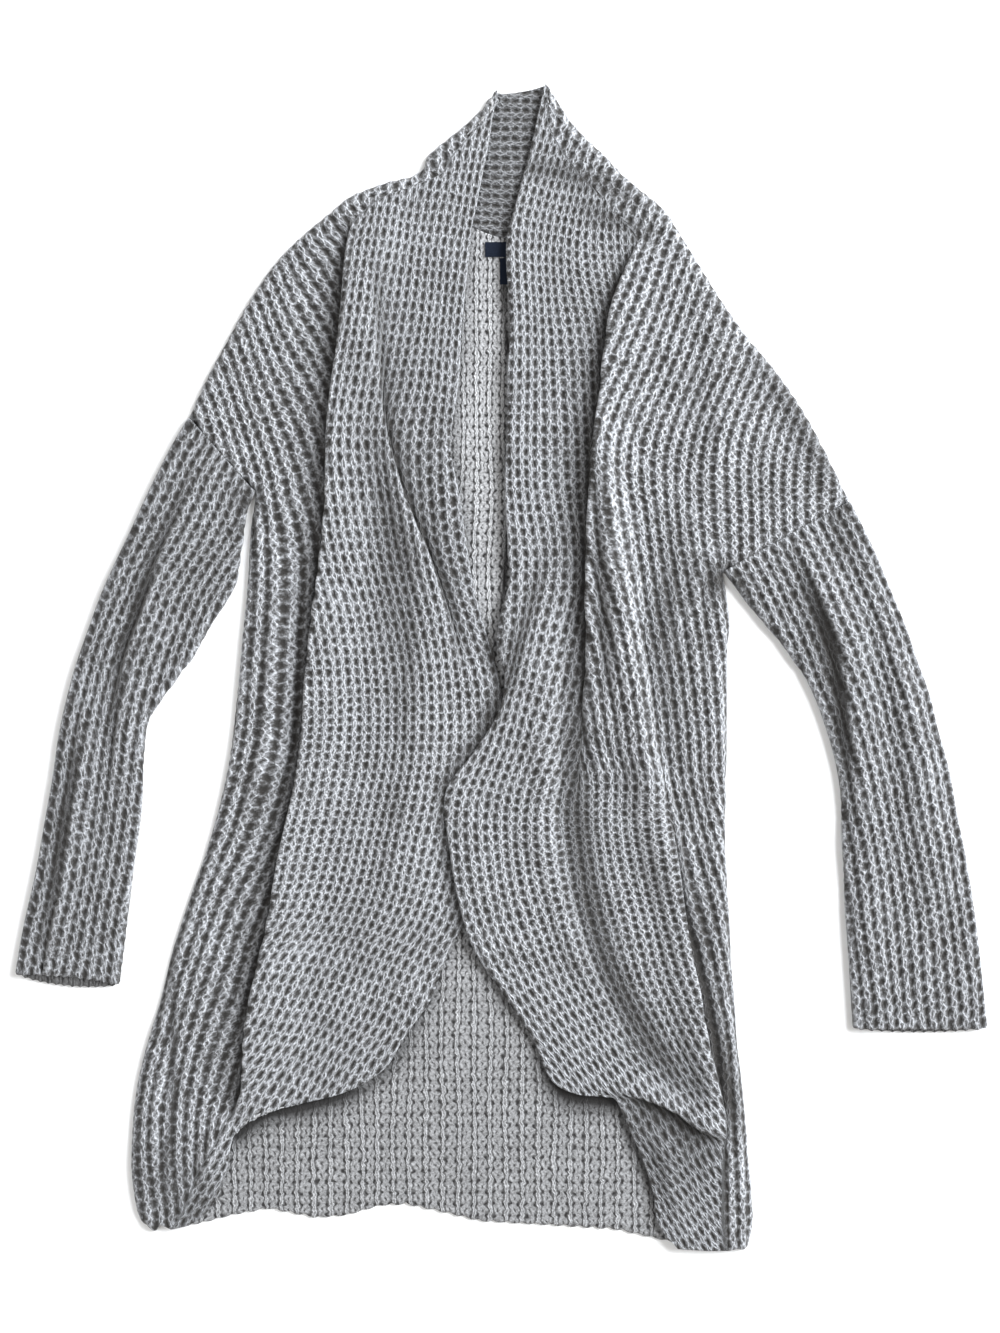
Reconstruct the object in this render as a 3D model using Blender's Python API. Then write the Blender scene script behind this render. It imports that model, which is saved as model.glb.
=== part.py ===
"""A buttonless cardigan in a chunky waffle knit, laid flat on its back.

The garment is built from the pieces that a maker would knit and sew: a back, two fronts whose
inner edges run up into a shawl collar, two sleeves, the stand of the collar behind the neck, a
neck label and a size tab. Each piece is a closed wall of even thickness. X runs across the
garment, +Y points from the hem to the collar, +Z points up from the surface that it lies on.
Lengths are written in millimetres and turned into metres by MM.
"""

import math
from collections import namedtuple

import bmesh
import bpy
import numpy as np

MM = 0.001

# Driving dimensions
WALL = 3.5
GAP = 0.3
BACK_MIDDLE = WALL / 2
FRONT_MIDDLE = 6.8
OVERLAP_RISE = 4.6
LABEL_WALL = 0.6
LABEL_SIZE = (50, 12)
LABEL_CORNER = (-12, 341)
TAB_SIZE = (8, 21)
TAB_CORNER = (0, 328)
GARMENT_CENTRE = (1.0, -2.5)

# A turned edge comes down to the surface in a quarter round, in this many steps.
ROLL_STEPS = 3
ROLL_WIDTH = WALL / 2 + FRONT_MIDDLE
ROLL_HOLLOW = math.sqrt((FRONT_MIDDLE - WALL / 2) ** 2 - WALL**2)
OUTLINE_SLACK = 2.2
BACK_INSET = ROLL_WIDTH - ROLL_HOLLOW + GAP + OUTLINE_SLACK

# Distances of the net's lines from a crease, closest together where the cloth turns.
CREASE_STANDOFFS = (1.0, 3.0, 6.5)
CREASE_RUN = 4.0
SEAM_FADE = 22.0

# A section of a front: its turned or sewn side, the crease beside it, and its free edge.
# "rolled" is 1 where the side turns down to the surface and 0 where it is sewn to a sleeve.
LeftSection = namedtuple("LeftSection", "side_x side_y crease_x crease_y edge_x edge_y rolled")
LEFT_FRONT = (
    LeftSection(-13, 452, -5, 455, -2, 458, 1),
    LeftSection(-25, 438, -11, 442, -5, 445, 1),
    LeftSection(-42, 424, -24, 425, -8, 426, 1),
    LeftSection(-58, 410, -38, 409, -11, 408, 1),
    LeftSection(-64, 398, -46, 396, -14, 394, 1),
    LeftSection(-92, 389, -72, 384, -17, 379, 1),
    LeftSection(-120, 378, -98, 372, -19, 368, 1),
    LeftSection(-135, 366, -114, 358, -22, 355, 1),
    LeftSection(-160, 345, -122, 338, -24, 338, 1),
    LeftSection(-181, 323, -125, 314, -27, 306, 1),
    LeftSection(-201, 294, -127, 290, -31, 271, 1),
    LeftSection(-221, 258, -130, 254, -32, 236, 1),
    LeftSection(-238, 226, -135, 218, -37, 202, 1),
    LeftSection(-249, 201, -138, 193, -40, 181, 1),
    LeftSection(-236, 186, -138, 179, -38, 165, 0),
    LeftSection(-222, 171, -138, 165, -34, 147, 0),
    LeftSection(-209, 156, -139, 152, -31, 134, 0),
    LeftSection(-196, 141, -140, 138, -27, 118, 1),
    LeftSection(-199, 117, -142, 110, -24, 98, 1),
    LeftSection(-202, 74, -146, 72, -19, 69, 1),
    LeftSection(-207, 22, -151, 24, -7, 18, 1),
    LeftSection(-210, -10, -154, -10, 1, -18, 1),
    LeftSection(-215, -58, -158, -59, 6, -58, 1),
    LeftSection(-224, -106, -166, -106, 6, -106, 1),
    LeftSection(-235, -146, -175, -146, 0, -154, 1),
    LeftSection(-248, -183, -182, -186, -16, -187, 1),
    LeftSection(-262, -226, -191, -226, -40, -223, 1),
    LeftSection(-273, -270, -200, -266, -56, -266, 1),
    LeftSection(-282, -298, -204, -302, -76, -294, 1),
    LeftSection(-289, -325, -206, -326, -93, -321, 1),
    LeftSection(-293, -350, -208, -346, -124, -339, 1),
    LeftSection(-295, -374, -218, -360, -160, -348, 1),
    LeftSection(-296, -398, -228, -382, -190, -354, 1),
    LeftSection(-294, -419, -240, -402, -211, -370, 1),
    LeftSection(-290, -437, -248, -422, -220, -406, 1),
    LeftSection(-286, -445, -256, -438, -234, -432, 1),
    LeftSection(-280, -449, -264, -446, -251, -443, 1),
)

RightSection = namedtuple(
    "RightSection", "side_x side_y hip_x hip_y crease_x crease_y edge_x edge_y rolled"
)
RIGHT_FRONT = (
    RightSection(45, 454, 40, 456, 38, 458, 36, 461, 1),
    RightSection(57, 438, 45, 437, 38, 438, 30, 440, 1),
    RightSection(70, 424, 56, 422, 44, 422, 26, 422, 1),
    RightSection(85, 410, 68, 408, 54, 407, 22, 406, 1),
    RightSection(99, 395, 81, 392, 66, 391, 18, 392, 1),
    RightSection(117, 380, 99, 377, 82, 376, 14, 376, 1),
    RightSection(133, 366, 113, 362, 96, 361, 10, 362, 1),
    RightSection(142, 352, 122, 348, 106, 347, 6, 346, 1),
    RightSection(160, 323, 134, 323, 102, 325, 5, 325, 1),
    RightSection(178, 294, 138, 293, 89, 294, 7, 294, 1),
    RightSection(198, 266, 138, 264, 83, 266, 8, 266, 1),
    RightSection(222, 237, 138, 235, 80, 237, 6, 237, 1),
    RightSection(242, 208, 134, 206, 77, 208, 6, 208, 1),
    RightSection(258, 179, 131, 178, 72, 179, 5, 179, 1),
    RightSection(280, 134, 125, 142, 70, 144, 4, 150, 1),
    RightSection(263, 125, 122, 129, 69, 131, 4, 133, 0),
    RightSection(246, 115, 119, 114, 69, 116, 5, 118, 0),
    RightSection(229, 106, 117, 101, 68, 103, 6, 102, 0),
    RightSection(212, 96, 116, 88, 67, 89, 6, 90, 0),
    RightSection(195, 86, 115, 75, 67, 75, 7, 75, 0),
    RightSection(178, 77, 116, 59, 67, 59, 3, 58, 1),
    RightSection(181, 61, 117, 42, 67, 42, -2, 40, 1),
    RightSection(184, 38, 118, 21, 68, 22, -5, 18, 1),
    RightSection(182, 3, 122, -11, 66, -10, 1, -10, 1),
    RightSection(182, -34, 125, -45, 64, -38, -2, -35, 1),
    RightSection(182, -70, 128, -75, 62, -70, -21, -67, 1),
    RightSection(181, -106, 133, -110, 64, -106, -43, -98, 1),
    RightSection(181, -146, 141, -147, 80, -146, -40, -146, 1),
    RightSection(183, -186, 147, -186, 96, -182, -33, -186, 1),
    RightSection(185, -222, 152, -222, 112, -215, -22, -222, 1),
    RightSection(188, -266, 161, -266, 122, -259, 6, -266, 1),
    RightSection(190, -298, 166, -298, 132, -294, 26, -296, 1),
    RightSection(194, -334, 175, -334, 144, -330, 46, -334, 1),
    RightSection(196, -355, 179, -354, 146, -347, 68, -342, 1),
    RightSection(198, -376, 180, -373, 147, -362, 86, -340, 1),
    RightSection(199, -394, 179, -390, 149, -379, 98, -358, 1),
    RightSection(201, -410, 178, -406, 152, -398, 112, -388, 1),
    RightSection(202, -426, 178, -424, 154, -421, 122, -418, 1),
    RightSection(203, -443, 178, -443, 157, -443, 126, -443, 1),
    RightSection(198, -466, 182, -466, 166, -466, 142, -464, 1),
)

# A section of a sleeve: its outer and its inner outline, from the armhole down to the cuff.
SleeveSection = namedtuple("SleeveSection", "outer_x outer_y inner_x inner_y")
LEFT_SLEEVE = (
    SleeveSection(-249, 201, -196, 141),
    SleeveSection(-262, 179, -202, 126),
    SleeveSection(-277, 150, -206, 112),
    SleeveSection(-297, 107, -211, 90),
    SleeveSection(-317, 64, -215, 62),
    SleeveSection(-330, 29, -229, 38),
    SleeveSection(-340, 0, -243, 13),
    SleeveSection(-347, -26, -262, -13),
    SleeveSection(-353, -54, -280, -40),
    SleeveSection(-357, -82, -284, -66),
    SleeveSection(-364, -122, -287, -114),
    SleeveSection(-372, -166, -294, -166),
    SleeveSection(-381, -206, -298, -206),
    SleeveSection(-388, -245, -304, -253),
)
RIGHT_SLEEVE = (
    SleeveSection(280, 134, 178, 77),
    SleeveSection(290, 114, 189, 64),
    SleeveSection(300, 93, 199, 50),
    SleeveSection(312, 64, 213, 34),
    SleeveSection(324, 35, 230, 13),
    SleeveSection(334, 6, 245, -10),
    SleeveSection(344, -22, 255, -32),
    SleeveSection(351, -51, 263, -55),
    SleeveSection(359, -80, 270, -83),
    SleeveSection(366, -118, 273, -118),
    SleeveSection(373, -152, 274, -154),
    SleeveSection(379, -190, 276, -190),
    SleeveSection(384, -230, 279, -232),
    SleeveSection(390, -288, 282, -288),
)

# A section of the back or of the collar's stand: its two sides, how far its middle sags towards
# the hem, and whether its sides lie inside a turned edge (1) or at an armhole seam (0).
FlatSection = namedtuple("FlatSection", "left_x left_y right_x right_y sag rolled")
NECKLINE = FlatSection(-60, 392, 110, 372, 41, 0)
FLAT_COLUMNS = 12
BACK = (
    NECKLINE,
    FlatSection(-120, 378, 152, 338, 34, 1),
    FlatSection(-160, 345, 178, 294, 22, 1),
    FlatSection(-201, 294, 222, 237, 10, 1),
    FlatSection(-229, 243, 250, 194, 4, 1),
    FlatSection(-249, 201, 280, 134, 0, 1),
    FlatSection(-231, 181, 246, 115, 0, 0),
    FlatSection(-214, 161, 212, 96, 0, 0),
    FlatSection(-196, 141, 178, 77, 0, 1),
    FlatSection(-202, 74, 183, 37, 0, 1),
    FlatSection(-207, 22, 182, -10, 0, 1),
    FlatSection(-215, -58, 182, -70, 0, 1),
    FlatSection(-235, -146, 181, -146, 0, 1),
    FlatSection(-262, -226, 185, -222, 0, 1),
    FlatSection(-282, -298, 190, -298, 0, 1),
    FlatSection(-293, -350, 195, -350, 0, 1),
    FlatSection(-296, -398, 200, -398, 0, 1),
    FlatSection(-290, -434, 203, -443, 0, 1),
    FlatSection(-280, -448, 198, -465, 0, 1),
)
COLLAR = (
    FlatSection(-2, 457, 36, 461, 0, 0),
    FlatSection(-13, 450, 45, 452, 0, 1),
    FlatSection(-26, 437, 57, 437, 0, 1),
    FlatSection(-42, 423, 70, 423, 4, 1),
    FlatSection(-56, 408, 86, 408, 14, 1),
    NECKLINE,
)

# The hem of the back rises and dips. Each row is a place along it and its distance from a
# straight line between the two corners.
HemPoint = namedtuple("HemPoint", "x rise")
HEM = (
    HemPoint(-280, 0),
    HemPoint(-243, 5),
    HemPoint(-208, 9),
    HemPoint(-171, 12),
    HemPoint(-147, 8),
    HemPoint(-123, 11),
    HemPoint(-96, 20),
    HemPoint(-75, 22),
    HemPoint(-51, 18),
    HemPoint(-16, 11),
    HemPoint(45, 10),
    HemPoint(93, 9),
    HemPoint(141, 0),
    HemPoint(165, -4),
    HemPoint(198, 0),
)
HEM_SHARES = (0.0, 0.15, 0.45, 1.0)

# A fold follows its path, whose points give its height there. A lap stands up from the crease on
# one side of the path and leans out over it, and a ridge is soft on both sides. "raised" is 1
# where the high side lies to the left of someone walking along the path, and -1 to the right.
FoldPoint = namedtuple("FoldPoint", "x y height")
Fold = namedtuple("Fold", "kind raised near far path")


def path_of(*rows):
    return tuple(FoldPoint(*row) for row in rows)


LEFT_FRONT_FOLDS = (
    Fold("lap", 1, CREASE_RUN, 48, path_of(
        (-117, 364, 0), (-123, 334, 6), (-127, 290, 8), (-133, 236, 9), (-138, 191, 9),
        (-139, 146, 9), (-142, 102, 9), (-149, 48, 8), (-154, 6, 8), (-158, -48, 8),
        (-164, -91, 8), (-172, -128, 8), (-178, -158, 8), (-185, -202, 9), (-194, -240, 9),
        (-203, -285, 10), (-206, -330, 9), (-214, -362, 0))),
    Fold("ridge", -1, 7, 22, path_of(
        (-98, 240, 0), (-94, 198, 3), (-87, 162, 4), (-75, 127, 5), (-58, 91, 5),
        (-45, 48, 4), (-38, 22, 0))),
    Fold("ridge", 1, 9, 12, path_of(
        (-48, 198, 0), (-42, 142, 2), (-36, 98, 2), (-26, 61, 2), (-18, 29, 1), (-12, 6, 0))),
    Fold("ridge", -1, 6, 9, path_of(
        (-272, -250, 0), (-273, -298, 3), (-276, -340, 4), (-279, -378, 4), (-275, -418, 3),
        (-268, -440, 0))),
    Fold("ridge", 1, 9, 12, path_of(
        (-200, -340, 0), (-222, -372, 4), (-238, -406, 4), (-248, -438, 0))),
)
RIGHT_FRONT_FOLDS = (
    Fold("lap", 1, CREASE_RUN, 50, path_of(
        (118, 352, 0), (102, 325, 4), (89, 294, 7), (82, 254, 9), (78, 214, 9), (73, 182, 9),
        (69, 123, 8), (67, 59, 7), (68, 16, 5), (65, -38, 4), (62, -74, 2), (62, -106, 0))),
    Fold("ridge", -1, 16, 16, path_of(
        (90, 160, 0), (99, 112, 2), (109, 59, 4), (118, 16, 5), (126, -48, 5), (131, -91, 5),
        (139, -146, 4), (147, -190, 0))),
    Fold("lap", -1, CREASE_RUN, 40, path_of(
        (146, -180, 0), (152, -215, 5), (160, -254, 8), (166, -286, 9), (174, -326, 10),
        (178, -352, 9), (172, -370, 8), (158, -367, 8), (138, -352, 7), (114, -343, 5),
        (88, -338, 0))),
    Fold("ridge", -1, 10, 22, path_of(
        (46, 118, 0), (36, 82, 2), (27, 54, 3), (18, 16, 3), (7, -22, 2), (-9, -54, 1),
        (-24, -76, 0))),
    Fold("ridge", 1, 8, 10, path_of(
        (118, -366, 0), (132, -390, 3), (140, -420, 3), (146, -452, 0))),
)
LEFT_SLEEVE_FOLDS = (
    Fold("ridge", 1, 7, 16, path_of(
        (-240, 140, 0), (-258, 92, 3), (-276, 40, 4), (-290, -8, 5), (-296, -50, 5),
        (-302, -90, 3), (-306, -140, 0))),
    Fold("ridge", 1, 6, 14, path_of(
        (-338, -60, 0), (-334, -110, 3), (-338, -150, 3), (-344, -200, 3), (-352, -240, 1))),
)
RIGHT_SLEEVE_FOLDS = (
    Fold("ridge", 1, 7, 18, path_of(
        (248, 112, 0), (262, 70, 3), (276, 30, 5), (285, -16, 6), (290, -70, 5),
        (291, -124, 4), (293, -180, 3), (296, -240, 3), (298, -288, 1))),
)


def eased(value, low, high):
    """0 below low, 1 above high, and a smooth step between them."""
    share = np.clip((value - low) / (high - low), 0.0, 1.0)
    return share * share * (3.0 - 2.0 * share)


def fold_frame(plan, fold):
    """Each plan point's distance across the fold, the fold's height there and its direction.

    The distance is positive on the raised side, and the direction points to that side.
    """
    path = np.array([(point.x, point.y) for point in fold.path], float)
    heights = np.array([point.height for point in fold.path], float)
    starts, steps = path[:-1], np.diff(path, axis=0)
    lengths = np.linalg.norm(steps, axis=1)
    offsets = plan[:, None, :] - starts[None]
    shares = np.clip((offsets * steps).sum(axis=2) / lengths**2, 0.0, 1.0)
    misses = offsets - shares[..., None] * steps
    distances = np.linalg.norm(misses, axis=2)
    nearest = distances.argmin(axis=1)
    every = np.arange(len(plan))
    share = shares[every, nearest]
    height = heights[nearest] * (1 - share) + heights[nearest + 1] * share
    forward = steps[nearest] / lengths[nearest, None]
    left = np.stack([-forward[:, 1], forward[:, 0]], axis=1) * fold.raised
    side = np.sign((misses[every, nearest] * left).sum(axis=1) + 1e-9)
    return side * distances[every, nearest], height, left


def fold_cloth(plan, folds, hold):
    """How far the folds lift each plan point and shift it, where hold is 1 away from seams."""
    lift = np.zeros(len(plan))
    shift = np.zeros_like(plan)
    for fold in folds:
        away, height, across = fold_frame(plan, fold)
        height = height * hold
        if fold.kind == "lap":
            stand = eased(away, -fold.near, fold.near)
            lift += height * stand * (1.0 - eased(away, fold.near, fold.far))
            lean = height * (stand - 0.5) * (1.0 - eased(abs(away), fold.near, fold.far))
            shift -= lean[:, None] * across
        else:
            reach = np.where(away > 0, fold.far, fold.near)
            lift += height * np.exp(-((away / reach) ** 2))
    return lift, shift


def inward_normals(outline, towards):
    """The plan directions that point from an outline into its piece, towards the given points."""
    steps = np.diff(outline, axis=0)
    steps /= np.linalg.norm(steps, axis=1)[:, None]
    forward = np.vstack([steps[:1], steps[:-1] + steps[1:], steps[-1:]])
    normals = np.stack([-forward[:, 1], forward[:, 0]], axis=1)
    normals /= np.linalg.norm(normals, axis=1)[:, None]
    facing = np.sign((normals * (towards - outline)).sum(axis=1))
    turn = 1.0 if facing.sum() > 0 else -1.0
    return normals * turn


def straightened(points, rolled):
    """The same outline with its sewn stretch on the straight line between its two corners."""
    points = points.copy()
    sewn = np.flatnonzero(rolled == 0)
    first, last = sewn[0] - 1, sewn[-1] + 1
    shares = ((sewn - first) / (last - first))[:, None]
    points[sewn] = points[first] * (1 - shares) + points[last] * shares
    return points


def between(start, end, lead, middle, trail):
    """Points from start to end: close to the start and the end by the standoffs, then evenly."""
    length = np.linalg.norm(end - start)
    squeeze = min(1.0, length / (2.6 * CREASE_STANDOFFS[-1]))
    head = [squeeze * step for step in CREASE_STANDOFFS] if lead else [0.0]
    tail = [length - squeeze * step for step in reversed(CREASE_STANDOFFS)] if trail else [length]
    gaps = middle + 1
    inner = [head[-1] + (tail[0] - head[-1]) * (step + 1) / gaps for step in range(middle)]
    stations = (head if lead else []) + inner + tail
    return [start + (end - start) * (station / length) for station in stations]


def front_net(sections, middles, folds, rise):
    """The middle surface of a front, as rows of points across it from its side to its edge."""
    guides = np.array([section[:-1] for section in sections], float).reshape(len(sections), -1, 2)
    rolled = np.array([section.rolled for section in sections])
    guides[:, 0] = straightened(guides[:, 0], rolled)
    inward = inward_normals(guides[:, 0], guides[:, -1])
    rows = []
    for row, (points, turn, sewn) in enumerate(zip(guides, inward, 1 - rolled)):
        angles = [step * math.pi / 2 / ROLL_STEPS for step in range(ROLL_STEPS + 1)]
        if sewn:
            reach = [GAP / 2 + share * ROLL_WIDTH / ROLL_STEPS for share in range(ROLL_STEPS + 1)]
            heights = [FRONT_MIDDLE] * len(reach)
        else:
            reach = [WALL / 2 + FRONT_MIDDLE * (1 - math.cos(angle)) for angle in angles]
            heights = [FRONT_MIDDLE * math.sin(angle) for angle in angles]
        rim = [points[0] + turn * distance for distance in reach]
        flat = []
        start = rim[-1]
        for number, end in enumerate(points[1:], start=1):
            last = number == len(points) - 1
            flat += between(start, end, number > 1, middles[number - 1], not last)
            start = end
        rows.append((np.array(rim + flat), heights))
    plan = np.array([points for points, _ in rows])
    flat_plan = plan.reshape(-1, 2)
    clear = np.linalg.norm(plan - plan[:, ROLL_STEPS:ROLL_STEPS + 1], axis=2)
    clear[:, : ROLL_STEPS + 1] = 0.0
    hold = eased(clear, 0.0, SEAM_FADE).reshape(-1)
    lift, shift = fold_cloth(flat_plan, folds, hold)
    height = np.full(plan.shape[:2], FRONT_MIDDLE)
    for row, (_, heights) in enumerate(rows):
        height[row, : ROLL_STEPS + 1] = heights
    extra = lift + hold * rise(flat_plan)
    middle = np.dstack([plan + shift.reshape(plan.shape), height + extra.reshape(height.shape)])
    return middle, rolled


def no_rise(plan):
    return np.zeros(len(plan))


def overlap_rise(plan):
    """The lift of the right front where it passes over the left front."""
    across = 1.0 - eased(plan[:, 0], 18.0, 52.0)
    along = eased(plan[:, 1], -250.0, -212.0) * (1.0 - eased(plan[:, 1], 24.0, 62.0))
    return OVERLAP_RISE * across * along


def sleeve_net(sections, folds, top_steps=12, rim_steps=3, bottom_steps=7):
    """The middle surface of a flattened sleeve, as rings from the armhole to the cuff."""
    low, high = BACK_MIDDLE, FRONT_MIDDLE
    radius = (high - low) / 2
    rings = []
    for section in sections:
        outer = np.array((section.outer_x, section.outer_y), float)
        inner = np.array((section.inner_x, section.inner_y), float)
        across = (inner - outer) / np.linalg.norm(inner - outer)
        outer_centre = outer + across * (WALL / 2 + radius)
        inner_centre = inner - across * (WALL / 2 + radius)
        ring = []
        for step in range(top_steps + 1):
            ring.append((*(outer_centre + (inner_centre - outer_centre) * step / top_steps), high))
        for step in range(1, rim_steps + 1):
            angle = math.pi * step / (rim_steps + 1)
            plan = inner_centre + across * radius * math.sin(angle)
            ring.append((*plan, low + radius * (1 + math.cos(angle))))
        for step in range(bottom_steps + 1):
            ring.append((*(inner_centre + (outer_centre - inner_centre) * step / bottom_steps), low))
        for step in range(1, rim_steps + 1):
            angle = math.pi * step / (rim_steps + 1)
            plan = outer_centre - across * radius * math.sin(angle)
            ring.append((*plan, low + radius * (1 - math.cos(angle))))
        rings.append(ring + ring[:1])
    middle = np.array(rings)
    top = middle[:, : top_steps + 1]
    share = np.arange(top_steps + 1) / top_steps
    widths = np.linalg.norm(top[:, -1, :2] - top[:, 0, :2], axis=1)
    clear = np.minimum(share, 1 - share)[None] * widths[:, None]
    travelled = np.linalg.norm(top[:, :, :2] - top[:1, :, :2], axis=2)
    hold = eased(clear, 0.0, 14.0) * eased(travelled, 0.0, SEAM_FADE)
    lift, _ = fold_cloth(top[..., :2].reshape(-1, 2), folds, hold.reshape(-1))
    top[..., 2] += lift.reshape(hold.shape)
    return middle


def flat_net(sections, seam_lift=0.0, hem_shares=()):
    """The middle surface of a piece that lies flat on the surface, inside the turned edges.

    The neckline keeps its own ends, and seam_lift moves it away from the piece on its other side.
    """
    lefts = np.array([(section.left_x, section.left_y) for section in sections], float)
    rights = np.array([(section.right_x, section.right_y) for section in sections], float)
    rolled = np.array([section.rolled for section in sections])
    neck = np.array([section is NECKLINE for section in sections])
    open_ends = (rolled == 0) & ~neck
    if open_ends.sum() > 1:
        lefts = straightened(lefts, np.where(neck, 1, rolled))
        rights = straightened(rights, np.where(neck, 1, rolled))
    inset = np.where(rolled == 1, BACK_INSET, GAP / 2)
    inset = np.where(neck, 0.0, inset)[:, None]
    starts = lefts + inward_normals(lefts, rights) * inset
    ends = rights + inward_normals(rights, lefts) * inset
    shares = np.linspace(0.0, 1.0, FLAT_COLUMNS + 1)
    plan = starts[:, None] + (ends - starts)[:, None] * shares[None, :, None]
    sags = np.array([section.sag for section in sections], float)
    plan[..., 1] -= sags[:, None] * (1 - abs(2 * shares - 1) ** 3)[None]
    plan[neck, :, 1] += seam_lift
    hem_x = [point.x for point in HEM]
    hem_rise = [point.rise for point in HEM]
    for row, share in enumerate(hem_shares, start=len(sections) - len(hem_shares)):
        plan[row, :, 1] += share * np.interp(plan[row, :, 0], hem_x, hem_rise)
    return np.dstack([plan, np.full(plan.shape[:2], BACK_MIDDLE)])


def outward_directions(middle, ring=False):
    """Unit directions across the wall: up on a sheet, and outwards on a ring."""
    diagonals = np.cross(middle[1:, 1:] - middle[:-1, :-1], middle[1:, :-1] - middle[:-1, 1:])
    total = np.zeros_like(middle)
    for rows in (slice(0, -1), slice(1, None)):
        for columns in (slice(0, -1), slice(1, None)):
            total[rows, columns] += diagonals
    if ring:
        total[:, 0] += total[:, -1]
        total[:, -1] = total[:, 0]
    total /= np.linalg.norm(total, axis=2)[..., None]
    if ring:
        outward = middle - middle[:, :-1].mean(axis=1)[:, None]
        return total * np.sign((total * outward).sum())
    return total * np.sign(total[..., 2].sum())


def in_seam_plane(directions, start, end):
    """The same directions turned into the upright plane through a seam's two ends."""
    across = np.array((end[1] - start[1], start[0] - end[0], 0.0), float)
    across /= np.linalg.norm(across)
    turned = directions - (directions @ across)[..., None] * across
    return turned / np.linalg.norm(turned, axis=-1)[..., None]


def wall_body(name, middle, directions, ring=False, thickness=WALL):
    """A closed wall whose faces lie half its thickness to each side of the middle surface."""
    rows, columns = middle.shape[:2]
    outer = (middle + directions * thickness / 2).reshape(-1, 3)
    inner = (middle - directions * thickness / 2).reshape(-1, 3)
    for side in (outer, inner):
        side[:, 2] = np.maximum(side[:, 2], 0.0)
        side[:, :2] -= GARMENT_CENTRE
    body = bmesh.new()
    bmesh.ops.create_grid(body, x_segments=columns - 1, y_segments=rows - 1, size=1.0)
    place = body.verts.layers.int.new("place")
    for vert in body.verts:
        column = round((vert.co.x + 1) / 2 * (columns - 1))
        row = round((vert.co.y + 1) / 2 * (rows - 1))
        vert[place] = row * columns + column
        vert.co = outer[vert[place]] * MM
    if ring:
        bmesh.ops.remove_doubles(body, verts=body.verts[:], dist=0.01 * MM)
    grown = bmesh.ops.extrude_face_region(body, geom=body.faces[:])
    for item in grown["geom"]:
        if isinstance(item, bmesh.types.BMVert):
            item.co = inner[item[place]] * MM
    bmesh.ops.recalc_face_normals(body, faces=body.faces[:])
    mesh = bpy.data.meshes.new(name)
    body.to_mesh(mesh)
    body.free()
    mesh.shade_smooth()
    mesh.set_sharp_from_angle(angle=math.radians(50))
    piece = bpy.data.objects.new(name, mesh)
    bpy.context.scene.collection.objects.link(piece)
    return piece


def strip(name, corner, size, bottom, wall):
    """A small flat rectangle of woven tape with its upper left corner at corner."""
    body = bmesh.new()
    bmesh.ops.create_cube(body, size=1.0)
    centre_x = corner[0] + size[0] / 2 - GARMENT_CENTRE[0]
    centre_y = corner[1] - size[1] / 2 - GARMENT_CENTRE[1]
    bmesh.ops.scale(body, vec=(size[0] * MM, size[1] * MM, wall * MM), verts=body.verts[:])
    place = (centre_x * MM, centre_y * MM, (bottom + wall / 2) * MM)
    bmesh.ops.translate(body, vec=place, verts=body.verts[:])
    mesh = bpy.data.meshes.new(name)
    body.to_mesh(mesh)
    body.free()
    piece = bpy.data.objects.new(name, mesh)
    bpy.context.scene.collection.objects.link(piece)
    return piece


def material(name, colour, roughness):
    finish = bpy.data.materials.new(name)
    finish.use_nodes = True
    shader = finish.node_tree.nodes["Principled BSDF"]
    shader.inputs["Base Color"].default_value = (*colour, 1.0)
    shader.inputs["Roughness"].default_value = roughness
    shader.inputs["Metallic"].default_value = 0.0
    finish.diffuse_color = (*colour, 1.0)
    return finish


def dress(piece, finish):
    piece.data.materials.append(finish)


def build_front(name, sections, middles, folds, rise, finish):
    middle, rolled = front_net(sections, middles, folds, rise)
    directions = outward_directions(middle)
    directions[rolled == 1, 0, 2] = 0.0
    sewn = np.flatnonzero(rolled == 0)
    seam = middle[sewn[0] - 1, 0], middle[sewn[-1] + 1, 0]
    directions[sewn, 0] = in_seam_plane(directions[sewn, 0], *seam)
    directions /= np.linalg.norm(directions, axis=2)[..., None]
    dress(wall_body(name, middle, directions), finish)


def build_sleeve(name, sections, folds, finish):
    middle = sleeve_net(sections, folds)
    first = sections[0]
    along = np.array(((first.inner_x - first.outer_x), (first.inner_y - first.outer_y)), float)
    down = np.array((along[1], -along[0])) / np.linalg.norm(along)
    down *= np.sign(down @ (middle[1, 0, :2] - middle[0, 0, :2]))
    middle[0, :, :2] += down * GAP / 2
    directions = outward_directions(middle, ring=True)
    seam = (first.outer_x, first.outer_y), (first.inner_x, first.inner_y)
    directions[0] = in_seam_plane(directions[0], *seam)
    dress(wall_body(name, middle, directions, ring=True), finish)


def build_flat(name, sections, finish, seam_lift=0.0, hem_shares=()):
    middle = flat_net(sections, seam_lift, hem_shares)
    dress(wall_body(name, middle, outward_directions(middle)), finish)


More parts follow.
